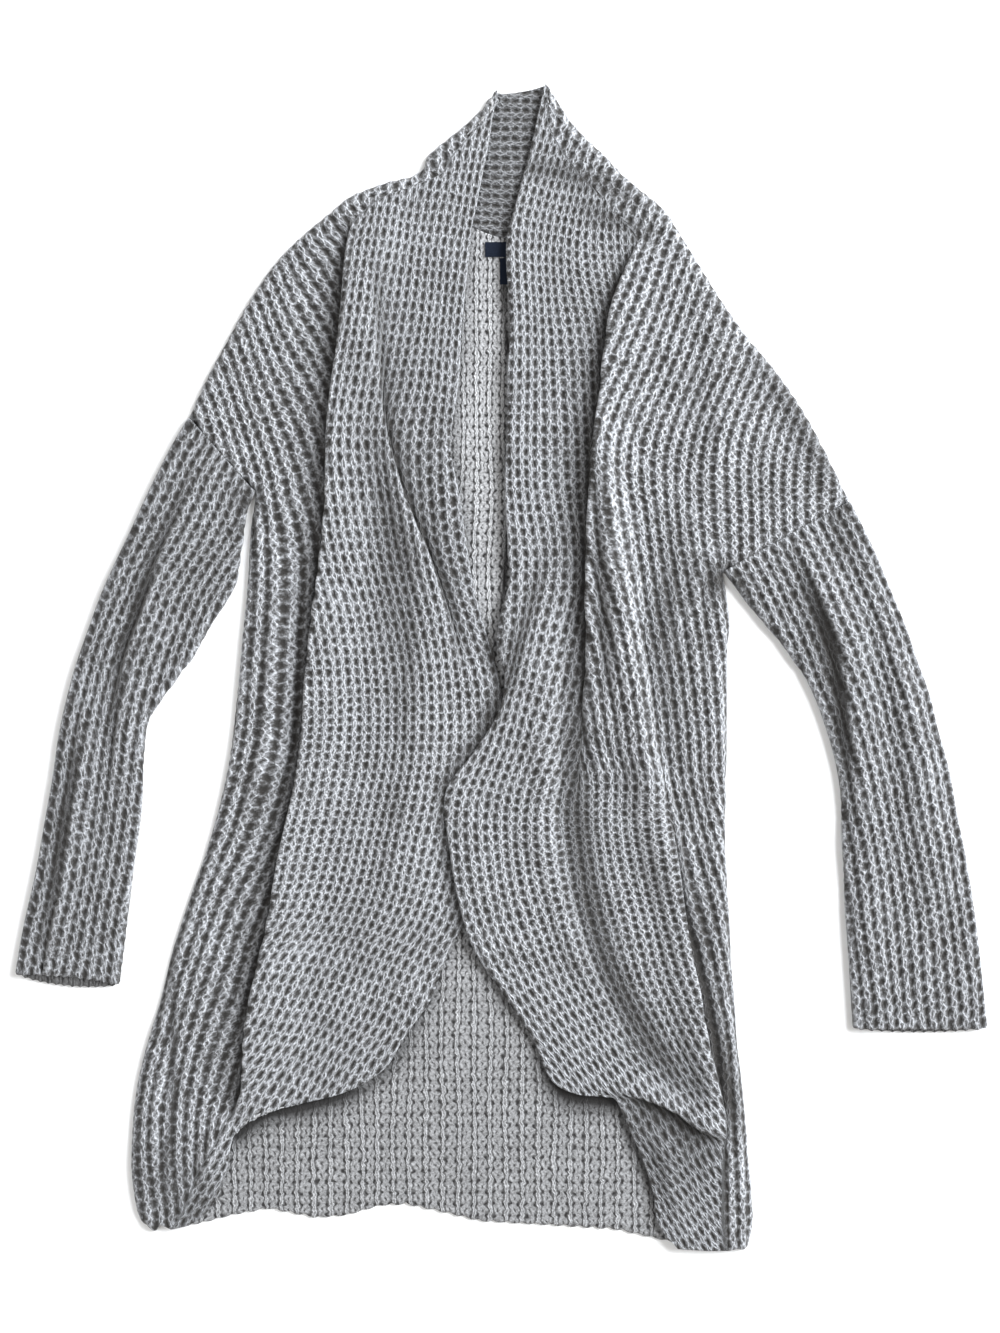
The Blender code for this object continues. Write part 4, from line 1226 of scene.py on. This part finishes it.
@dataclass
class FlatPiece(KnitPiece):
    """The back or the collar's stand, which lies flat inside the turned edges."""

    corners: tuple[int, ...]
    columns: int
    row_step: float
    seam_lift: float = 0.0
    collar: bool = False
    collar_wale: float = 7.5
    collar_course: float = 8.0
    relief: float = 1.3
    edge_round: Pair = (0.35, 2.4)
    seam_reach: float = 10.0
    loop_width: float = 11.6
    loop_depth: float = 2.2
    loop_reach: float = 5.0

    def wall(self) -> KnitWall:
        """Shape the piece's wall.

        Returns:
            The wall, ready to build.
        """
        plan, at, neck_first = self._plan()
        middle = np.dstack([plan, np.full(plan.shape[:2], BACK_MIDDLE)])
        if self.collar:
            stitches = plan[..., ::-1] / (self.collar_wale, self.collar_course)
        else:
            stitches = KnitGuide(BACK_KNIT).stitches(plan)
        stitches = wandered(stitches, plan)
        sides = [np.linalg.norm(plan - plan[:, k, None], axis=2) for k in (0, -1)]
        open_end = (at[-1] - at if neck_first else at)[:, None]
        rim = np.minimum(np.minimum(*sides), open_end)
        relief = (reverse_relief(stitches) - REVERSE_LEVEL) * self.relief
        return KnitWall(
            self.name, middle, outward_directions(middle), stitches, relief,
            rounded_half(rim, *self.edge_round), self._shade(plan), keep_rows=3,
        )

    def _plan(self) -> tuple[Array, Array, bool]:
        """Spread the rows between the piece's two sides.

        Returns:
            The rows of plan points, each row's place, and whether the neckline comes first.
        """
        table = np.array(self.rows, float)
        lefts, rights = table[:, 0:2].copy(), table[:, 2:4].copy()
        neck = np.array([row is NECKLINE for row in self.rows])
        rolled = table[:, 5]
        if not self.collar:
            lefts, rights = (
                straightened(side, np.where(neck, 1, rolled)) for side in (lefts, rights)
            )
        inset = np.where(neck, 0.0, np.where(rolled == 1, BACK_INSET, GAP / 2))[:, None]
        starts = lefts + inward_normals(lefts, rights) * inset
        ends = rights + inward_normals(rights, lefts) * inset
        places = row_places(np.stack([starts, ends], axis=1))
        at = even_places(places[-1], self.row_step)
        left, right = (smooth_track(places, side, at, self.corners) for side in (starts, ends))
        sag = np.interp(at, places, table[:, 4])
        shares = np.linspace(0.0, 1.0, self.columns + 1)
        plan = left[:, None] + (right - left)[:, None] * shares[None, :, None]
        plan[..., 1] -= sag[:, None] * (1 - abs(2 * shares - 1) ** 3)[None]
        to_seam = abs(at - at[0 if neck[0] else -1])[:, None]
        plan[..., 1] += self.seam_lift * np.clip(1 - to_seam / self.seam_reach, 0, 1)
        if not self.collar:
            share = eased(at, places[-4], places[-1])[:, None]
            plan[..., 1] += share * np.interp(plan[..., 0], *np.array(HEM_RISE).T)
            lip = eased(at, places[-1] - self.loop_reach, places[-1])[:, None]
            plan[..., 1] += self.loop_depth * lip * loops(plan[..., 0] / self.loop_width)
        return plan, at, bool(neck[0])

    def _shade(self, plan: Array) -> Array:
        """Paint the shadow that the fronts cast on each point, on top of the painted shade of the
        collar or of the back's lower part.

        Args:
            plan: the rows of plan points.

        Returns:
            How much painted shade each point gets, 0 to 1.
        """
        points = plan.reshape(-1, 2)
        if self.collar:
            shade = np.full(len(points), COLLAR_SHADE)
        else:
            shade = HEM_SHADE * (1.0 - eased(points[:, 1], *HEM_SHADE_FADE))
        # Painted shadow beside each free edge of a front.
        for edge in TOP_EDGES:
            away, amount, _ = fold_frame(points, edge)
            shade = np.maximum(shade, amount / 10.0 * np.exp(-abs(away) / edge.shelter))
        return shade.reshape(plan.shape[:2])


@dataclass(frozen=True)
class Tape:
    """A small flat rectangle of woven tape, left plain."""

    name: str
    node: str
    corner: Pair
    size: Pair
    bottom: float = WALL + GAP
    wall: float = 0.6
    softness: float = 0.18

    def build(self, finish: Material) -> Object:
        """Make the tape, with softened edges.

        Args:
            finish: its finish.

        Returns:
            The new object.
        """
        size = np.array((*self.size, self.wall))
        corner = np.array((*self.corner, self.bottom)) - (*GARMENT_CENTRE, 0.0)
        body = bmesh.new()
        bmesh.ops.create_cube(body, size=1.0)
        bmesh.ops.scale(body, vec=tuple(size * MM), verts=body.verts[:])
        bmesh.ops.bevel(
            body, geom=body.edges[:], offset=self.softness * MM, segments=2, profile=0.5,
            affect="EDGES", material=-1,
        )
        middle = corner + size * (0.5, -0.5, 0.5)
        bmesh.ops.translate(body, vec=tuple(middle * MM), verts=body.verts[:])
        return placed(self.name, body, (finish,))


@dataclass
class NodeBench:
    """A short way to wire a shader's nodes."""

    tree: NodeTree

    def add(
        self, kind: str, inputs: dict[str | int, object] | None = None, **settings: object
    ) -> Node:
        """Add a node.

        Args:
            kind: the node's type.
            inputs: a socket or a value for each input that is fed, by name or number.
            settings: the node's own properties.

        Returns:
            The new node.
        """
        node = self.tree.nodes.new(kind)
        for key, value in settings.items():
            setattr(node, key, value)
        self.feed(node, inputs or {})
        return node

    def feed(self, node: Node, inputs: dict[str | int, object]) -> None:
        """Link a node's inputs to other sockets, or set their own values.

        Args:
            node: the node.
            inputs: a socket or a value for each input that is fed, by name or number.
        """
        for key, value in inputs.items():
            if isinstance(value, NodeSocket):
                self.tree.links.new(value, node.inputs[key])
            else:
                node.inputs[key].default_value = value

    def math(self, operation: str, *values: object) -> NodeSocket:
        """Do one sum on values or sockets and return where its result comes out."""
        return self.add("ShaderNodeMath", dict(enumerate(values)), operation=operation).outputs[0]

    def times(self, one: object, two: object) -> NodeSocket:
        """One value times another."""
        return self.math("MULTIPLY", one, two)

    def less(self, one: object, two: object) -> NodeSocket:
        """One value less another."""
        return self.math("SUBTRACT", one, two)

    def line(self, value: object, slope: object, start: object) -> NodeSocket:
        """A value times a slope, from a start."""
        return self.math("MULTIPLY_ADD", value, slope, start)

    def near(self, count: object) -> NodeSocket:
        """The distance of a count from its nearest whole number."""
        part = self.math("FRACT", self.math("ADD", count, 0.5))
        return self.math("ABSOLUTE", self.less(part, 0.5))

    def hump(self, distance: object, width: float) -> NodeSocket:
        """1 where a distance is 0, falling away smoothly over a width."""
        scaled = self.math("DIVIDE", distance, width)
        return self.math("EXPONENT", self.times(self.times(scaled, scaled), -1.0))

    def cosine(self, count: object) -> NodeSocket:
        """The cosine of a whole turn for each count."""
        return self.math("COSINE", self.times(count, math.tau))

    def cavity_shade(self, height: object, level: float, gain: float) -> NodeSocket:
        """How far a height lies below a level, times a gain: the painted shade of a hollow in the
        knit.
        """
        return self.times(self.math("MAXIMUM", self.less(level, height), 0.0), gain)

    def blend(self, share: object, one: object, two: object) -> NodeSocket:
        """Mix two colours, each a socket or a plain colour."""
        colours = [(*tint, 1.0) if isinstance(tint, tuple) else tint for tint in (one, two)]
        inputs = {0: share, 6: colours[0], 7: colours[1]}
        return self.add("ShaderNodeMix", inputs, data_type="RGBA").outputs[2]


def new_group(
    name: str, outputs: tuple[str, ...]
) -> tuple[NodeBench, NodeSocket, Node]:
    """Start a shader group that reads a place in the knit and puts out values.

    Args:
        name: the group's name.
        outputs: the names of its value outputs.

    Returns:
        Its bench, the socket of the place in the knit, and the node of its outputs.
    """
    tree = bpy.data.node_groups.new(name, "ShaderNodeTree")
    tree.interface.new_socket("Stitch", in_out="INPUT", socket_type="NodeSocketVector")
    for label in outputs:
        tree.interface.new_socket(label, in_out="OUTPUT", socket_type="NodeSocketFloat")
    bench = NodeBench(tree)
    return bench, bench.add("NodeGroupInput").outputs["Stitch"], bench.add("NodeGroupOutput")


@dataclass(frozen=True)
class WaffleFace:
    """The outside of the waffle: chains of open links on each wale, bars and pits between.

    Widths and lengths are in wales and courses, heights and depths in shares of the relief.
    """

    link_opening: float = 0.17
    link_waist: float = 0.04
    strand_width: float = 0.1
    strand_dip: float = 0.15
    bar_droop: float = 0.06
    bar_width: float = 0.2
    bar_height: float = 0.56
    bar_loosening: float = 0.24
    body_width: float = 0.38
    body_height: float = 0.58
    softness: float = 0.12
    pit_width: float = 0.19
    pit_length: float = 0.27
    pit_loosening: float = 0.4
    pit_depth: float = 0.2
    pit_variety: float = 0.5
    eye_width: float = 0.08
    eye_length: float = 0.2
    eye_depth: float = 0.46
    # How low the knit must lie to be painted with shade, and how fast that shade darkens.
    shade_level: float = 0.62
    shade_gain: float = 1.2

    def group(self) -> NodeTree:
        """Make the shader group.

        Returns:
            The group, with its outputs Height and Depth, the painted shade of its pits and eyes.
        """
        bench, stitch, end = new_group("waffle_face", ("Height", "Depth"))
        wale, course, loose = bench.add("ShaderNodeSeparateXYZ", {0: stitch}).outputs
        off_wale, off_bar = bench.near(wale), bench.near(course)
        swing = bench.line(bench.cosine(course), 0.5, 0.5)
        split = bench.line(swing, self.link_opening, self.link_waist)
        strand = bench.hump(bench.less(off_wale, split), self.strand_width)
        strand = bench.times(strand, bench.line(swing, self.strand_dip, 1.0 - self.strand_dip))
        droop = bench.line(bench.cosine(wale), self.bar_droop, course)
        thick = bench.line(loose, -self.bar_loosening, self.bar_height)
        bar = bench.times(bench.hump(bench.near(droop), self.bar_width), thick)
        body = bench.times(bench.hump(off_wale, self.body_width), self.body_height)
        raised = bench.math("SMOOTH_MAX", strand, bar, self.softness)
        raised = bench.math("SMOOTH_MAX", raised, body, self.softness)
        off_pit = bench.times(
            bench.less(0.5, off_bar), bench.line(loose, -self.pit_loosening, 1.0)
        )
        pit = bench.times(
            bench.hump(bench.less(0.5, off_wale), self.pit_width),
            bench.hump(off_pit, self.pit_length),
        )
        eye = bench.times(
            bench.hump(off_wale, self.eye_width), bench.hump(off_bar, self.eye_length)
        )
        floors = {0: bench.math("FLOOR", wale), 1: bench.math("FLOOR", course)}
        cell = bench.add("ShaderNodeCombineXYZ", floors).outputs[0]
        dice = bench.add("ShaderNodeTexWhiteNoise", {"Vector": cell}, noise_dimensions="2D")
        depth = bench.line(dice.outputs["Value"], self.pit_variety, self.pit_depth)
        raised = bench.less(raised, bench.times(pit, depth))
        raised = bench.less(raised, bench.times(eye, self.eye_depth))
        # Painted shade in the pits and eyes, where the knit lies low.
        dark = bench.cavity_shade(raised, self.shade_level, self.shade_gain)
        bench.feed(end, {"Height": raised, "Depth": dark})
        return bench.tree


@dataclass(frozen=True)
class WaffleReverse:
    """The inside of the waffle: pairs of thin upright strands, arcs and small holes between.

    Widths and lengths are in wales and courses, heights and depths in shares of the relief.
    """

    strand_place: float = 0.07
    strand_width: float = 0.045
    arc_waves: float = 4.0
    arc_bend: float = 0.14
    arc_width: float = 0.22
    arc_rise: float = 0.16
    ground: float = 0.52
    groove_place: float = 0.17
    groove_width: float = 0.06
    groove_depth: float = 0.5
    hole_place: float = 0.25
    hole_width: float = 0.06
    hole_length: float = 0.16
    hole_depth: float = 0.9
    middle_length: float = 0.15
    middle_share: float = 0.8
    softness: float = 0.1
    # How low the knit must lie to be painted with shade, and how fast that shade darkens.
    shade_level: float = 0.98
    shade_gain: float = 0.8

    def group(self) -> NodeTree:
        """Make the shader group.

        Returns:
            The group, with its outputs Height and Depth, the painted shade of its holes and
            grooves.
        """
        bench, stitch, end = new_group("waffle_reverse", ("Height", "Depth"))
        wale, course, _ = bench.add("ShaderNodeSeparateXYZ", {0: stitch}).outputs
        off_wale = bench.near(wale)
        strand = bench.hump(bench.less(off_wale, self.strand_place), self.strand_width)
        wave = bench.line(bench.cosine(bench.times(wale, self.arc_waves)), self.arc_bend, course)
        arc = bench.line(bench.hump(bench.near(wave), self.arc_width), self.arc_rise, self.ground)
        groove = bench.hump(bench.less(off_wale, self.groove_place), self.groove_width)
        groove = bench.times(groove, self.groove_depth)
        side = bench.math("ABSOLUTE", bench.less(off_wale, self.hole_place))
        level = bench.near(bench.math("ADD", course, 0.5))
        hole = bench.times(
            bench.hump(side, self.hole_width), bench.hump(level, self.hole_length)
        )
        middle = bench.times(
            bench.hump(bench.less(0.5, off_wale), self.hole_width),
            bench.hump(bench.near(course), self.middle_length),
        )
        hole = bench.math("MAXIMUM", hole, bench.times(middle, self.middle_share))
        raised = bench.math("SMOOTH_MAX", strand, arc, self.softness)
        raised = bench.less(raised, bench.times(hole, self.hole_depth))
        raised = bench.less(raised, groove)
        # Painted shade in the holes and grooves, where the knit lies low.
        dark = bench.cavity_shade(raised, self.shade_level, self.shade_gain)
        bench.feed(end, {"Height": raised, "Depth": dark})
        return bench.tree


@dataclass(frozen=True)
class Marl:
    """Light and dark plies that run through the yarn in short flecks."""

    stretch: Triple = (6.5, 4.6, 1.0)
    turn: float = 0.5
    sharpness: float = 5.0
    cloud_scale: float = 0.33

    def group(self) -> NodeTree:
        """Make the shader group.

        Returns:
            The group, with its outputs Fleck and Cloud.
        """
        bench, stitch, end = new_group("yarn_marl", ("Fleck", "Cloud"))
        placing = {"Vector": stitch, "Scale": self.stretch, "Rotation": (0.0, 0.0, self.turn)}
        plies = bench.add("ShaderNodeMapping", placing).outputs[0]
        grain = {"Vector": plies, "Scale": 1.0, "Detail": 3.0, "Roughness": 0.65}
        fleck = bench.less(bench.add("ShaderNodeTexNoise", grain).outputs[0], 0.5)
        fleck = bench.line(fleck, self.sharpness, 0.5)
        fleck = bench.math("MINIMUM", bench.math("MAXIMUM", fleck, 0.0), 1.0)
        drifting = {"Vector": stitch, "Scale": self.cloud_scale, "Detail": 2.0}
        cloud = bench.add("ShaderNodeTexNoise", drifting).outputs[0]
        bench.feed(end, {"Fleck": fleck, "Cloud": cloud})
        return bench.tree


def new_finish(name: str) -> tuple[Material, NodeBench, Node]:
    """Start a material.

    Args:
        name: its name.

    Returns:
        The material, its bench and its shader.
    """
    finish = bpy.data.materials.new(name)
    finish.use_nodes = True
    return finish, NodeBench(finish.node_tree), finish.node_tree.nodes["Principled BSDF"]


@dataclass(frozen=True)
class YarnFinish:
    """Marled yarn, knitted in one of the two faces of the waffle, with painted shade in its low
    places, pits and creases.
    """

    name: str
    # The colour that painted shade goes towards, in the pits and in the creases.
    pit: Triple
    dark: Triple
    light: Triple
    bump: float
    cloud_share: float = 0.3
    darkening: float = 0.38
    # How much darker the knit's low parts are painted than its raised parts, as shade.
    relief_shade_share: float = 0.6
    fleck_share: float = 0.62
    fuzz: float = 0.16
    # How far the shade attribute's painted shade goes towards the pit colour.
    shade_strength: float = 0.95
    stray: Triple = (0.42, 0.5, 0.0)
    stray_scale: float = 1.9

    def material(
        self, relief: NodeTree, marl: NodeTree
    ) -> Material:
        """Make the material.

        Args:
            relief: the shader group of the knit's face.
            marl: the shader group of the yarn's flecks.

        Returns:
            The new material.
        """
        finish, bench, shader = new_finish(self.name)
        stitch = bench.add("ShaderNodeAttribute", attribute_name="stitch").outputs["Vector"]
        strayed = self._strayed(bench, stitch)
        face = bench.add("ShaderNodeGroup", {"Stitch": strayed}, node_tree=relief)
        yarn = bench.add("ShaderNodeGroup", {"Stitch": stitch}, node_tree=marl)
        height, fleck = face.outputs["Height"], yarn.outputs["Fleck"]
        tone = bench.line(yarn.outputs["Cloud"], self.cloud_share, -self.darkening)
        # Painted shade: the lower the knit, the darker its colour.
        tone = bench.line(height, self.relief_shade_share, tone)
        tone = bench.line(fleck, self.fleck_share, tone)
        colour = bench.blend(tone, self.dark, self.light)
        # Painted shade in the pits.
        colour = bench.blend(face.outputs["Depth"], colour, self.pit)
        # Painted shade of the creases, the arms' hollows and the fronts' shadows, from the shade
        # attribute.
        shade = bench.add("ShaderNodeAttribute", attribute_name="shade").outputs["Fac"]
        colour = bench.blend(bench.times(shade, self.shade_strength), colour, self.pit)
        raised = {"Height": bench.line(fleck, self.fuzz, height), "Distance": self.bump * MM}
        bump = bench.add("ShaderNodeBump", raised)
        bench.feed(shader, {
            "Base Color": colour, "Roughness": 0.92, "Specular IOR Level": 0.25,
            "Sheen Weight": 0.25, "Sheen Roughness": 0.5, "Normal": bump.outputs[0],
        })
        return finish

    def _strayed(self, bench: NodeBench, stitch: NodeSocket) -> NodeSocket:
        """Push each stitch a little out of line, so that no two loops are alike.

        Args:
            bench: the material's bench.
            stitch: each point's place in the knit.

        Returns:
            The strayed place.
        """
        grain = {"Vector": stitch, "Scale": self.stray_scale, "Detail": 1.0}
        moved = bench.add("ShaderNodeTexNoise", grain).outputs["Color"]
        for operation, value in (
            ("SUBTRACT", (0.5, 0.5, 0.5)), ("MULTIPLY", self.stray), ("ADD", stitch),
        ):
            inputs = {0: moved, 1: value}
            moved = bench.add("ShaderNodeVectorMath", inputs, operation=operation).outputs[0]
        return moved


@dataclass(frozen=True)
class TapeFinish:
    """Smooth woven tape with a fine rib, its raised crossings painted lighter as a sheen."""

    name: str = "woven_tape"
    colour: Triple = (0.007, 0.0105, 0.02)
    # How much lighter the painted sheen is than the tape.
    sheen: float = 2.2
    rib: float = 0.35
    bump: float = 0.08

    def material(self) -> Material:
        """Make the material.

        Returns:
            The new material.
        """
        finish, bench, shader = new_finish(self.name)
        place = bench.add("ShaderNodeTexCoord").outputs["Object"]
        x, y, _ = bench.add("ShaderNodeSeparateXYZ", {0: place}).outputs
        ribs = [bench.cosine(bench.math("DIVIDE", along, self.rib * MM)) for along in (x, y)]
        weave = bench.times(*ribs)
        # Painted sheen: the weave's raised crossings are painted lighter.
        lighter = tuple(self.sheen * part for part in self.colour)
        colour = bench.blend(bench.line(weave, 0.25, 0.35), self.colour, lighter)
        bump = bench.add("ShaderNodeBump", {"Height": weave, "Distance": self.bump * MM})
        bench.feed(shader, {
            "Base Color": colour, "Roughness": 0.8, "Specular IOR Level": 0.15,
            "Normal": bump.outputs[0],
        })
        return finish


@dataclass(frozen=True)
class Lamp:
    """A square soft light that faces the garment's middle."""

    name: str
    place: Triple
    size: float
    power: float
    colour: Triple = (0.93, 0.965, 1.0)

    def build(self) -> None:
        """Hang the light."""
        lamp = bpy.data.lights.new(self.name, "AREA")
        lamp.shape = "SQUARE"
        lamp.size = self.size
        lamp.energy = self.power
        lamp.color = self.colour
        holder = bpy.data.objects.new(self.name, lamp)
        bpy.context.scene.collection.objects.link(holder)
        x, y, z = self.place
        holder.location = self.place
        holder.rotation_euler = (
            math.atan2(math.hypot(x, y), z), 0.0, math.atan2(y, x) + math.pi / 2
        )


@dataclass(frozen=True)
class Studio:
    """The pale floor, the soft light and the camera above."""

    height: float = 1.605
    picture: Pair = (0.8, 1.0664)
    aim: Pair = (-0.001, 0.0037)
    floor_size: float = 4.0
    floor_drop: float = 0.4 * MM
    lamps: tuple[Lamp, ...] = (
        Lamp("key", (2.9, 1.5, 2.4), 2.6, 420.0), Lamp("fill", (-1.2, -0.4, 2.2), 2.0, 26.0),
    )

    def build(self) -> None:
        """Set the whole studio up."""
        self._floor()
        for lamp in self.lamps:
            lamp.build()
        world = bpy.data.worlds.new("studio_air")
        world.use_nodes = True
        air = world.node_tree.nodes["Background"]
        air.inputs["Color"].default_value = (1.0, 0.95, 0.89, 1.0)
        air.inputs["Strength"].default_value = 0.42
        bpy.context.scene.world = world
        bpy.context.scene.view_settings.view_transform = "Standard"
        self._camera()

    def _floor(self) -> None:
        """Lay a plain pale floor just under the garment."""
        body = bmesh.new()
        bmesh.ops.create_grid(body, x_segments=1, y_segments=1, size=self.floor_size)
        bmesh.ops.translate(body, vec=(0.0, 0.0, -self.floor_drop), verts=body.verts[:])
        finish, bench, shader = new_finish("pale_floor")
        bench.feed(shader, {"Base Color": (0.92, 0.92, 0.92, 1.0), "Roughness": 0.9})
        placed("floor", body, (finish,))

    def _camera(self) -> None:
        """Hang the camera straight above, looking down."""
        lens = bpy.data.cameras.new("camera")
        lens.sensor_fit = "VERTICAL"
        lens.angle = 2 * math.atan(self.picture[1] / 2 / (self.height - 5 * MM))
        camera = bpy.data.objects.new("camera", lens)
        camera.location = (*self.aim, self.height)
        bpy.context.scene.collection.objects.link(camera)
        bpy.context.scene.camera = camera


@dataclass(frozen=True)
class Cut:
    """The flat cut of one piece: width, length and area, in metres."""

    width: float
    length: float
    area: float


def measure_piece(piece: Object, node: str) -> None:
    """Hang a finished piece on the root, hide the solid that it stands for and report it.

    Args:
        piece: the finished piece.
        node: the solid that it stands for.
    """
    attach(piece, "root")
    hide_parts(node)
    faces = sum(len(face.vertices) - 2 for face in piece.data.polygons)
    LOG.info("%s: %d triangles", piece.name, faces)


def main() -> None:
    """Build the cardigan and its studio."""
    logging.basicConfig(level=logging.INFO, format="%(message)s")
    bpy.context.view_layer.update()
    marl = Marl().group()
    # The first colour of each yarn is that of its painted shade.
    face = YarnFinish(
        "waffle_face_yarn", (0.022, 0.02, 0.0185), (0.085, 0.083, 0.083), (0.63, 0.65, 0.69), 1.6
    ).material(WaffleFace().group(), marl)
    reverse = YarnFinish(
        "waffle_reverse_yarn", (0.022, 0.021, 0.021), (0.27, 0.268, 0.27), (0.86, 0.87, 0.895), 0.8
    ).material(WaffleReverse().group(), marl)
    tape = TapeFinish().material()
    back = FlatPiece("back_panel", "back", BACK, (5, 8), 206, 2.2)
    stand = FlatPiece("collar_stand", "collar", COLLAR, (), 90, 1.2, seam_lift=GAP, collar=True)
    left = FrontPanel(
        "left_front_panel", "front_left", LEFT_FRONT, LEFT_FRONT_FOLDS,
        KnitGuide(LEFT_PANEL_KNIT), KnitGuide(LEFT_SIDE_KNIT),
        (Span(False, 36, True), Span(True, 116, False)), 1.95, (14, 18), overlaps=False,
    )
    right = FrontPanel(
        "right_front_panel", "front_right", RIGHT_FRONT, RIGHT_FRONT_FOLDS,
        KnitGuide(RIGHT_PANEL_KNIT), KnitGuide(RIGHT_SIDE_KNIT),
        (Span(False, 62, True), Span(True, 26, True), Span(True, 74, False)), 2.2, (15, 21),
        overlaps=True, merge=(125.0, -105.0),
    )
    left_sleeve = Sleeve(
        "left_sleeve_tube", "sleeve_left", LEFT_SLEEVE, LEFT_SLEEVE_FOLDS, (-3.0, 5.0), 0.22
    )
    right_sleeve = Sleeve(
        "right_sleeve_tube", "sleeve_right", RIGHT_SLEEVE, RIGHT_SLEEVE_FOLDS, (0.0, 3.0), 0.17
    )
    label = Tape("plain_neck_label", "neck_label", (-12, 341), (50, 12))
    tab = Tape("plain_size_tab", "size_tab", (0, 328), (8, 21))
    for part, finishes, material_slot, rests_on in (
        (back, (reverse, face), "waffle_knit_inside", "floor"),
        (stand, (face, face), "waffle_knit_inside", "floor"),
        (left, (face, reverse), "waffle_knit", "back_panel"),
        (right, (face, reverse), "waffle_knit", "back_panel"),
        (left_sleeve, (face, reverse), "waffle_knit", "floor"),
        (right_sleeve, (face, reverse), "waffle_knit", "floor"),
        (label, (tape,), "label_tape", "back_panel"),
        (tab, (tape,), "label_tape", "back_panel"),
    ):
        measure_piece(part.build(*finishes), part.node)
    Studio().build()


if __name__ == "__main__":
    main()
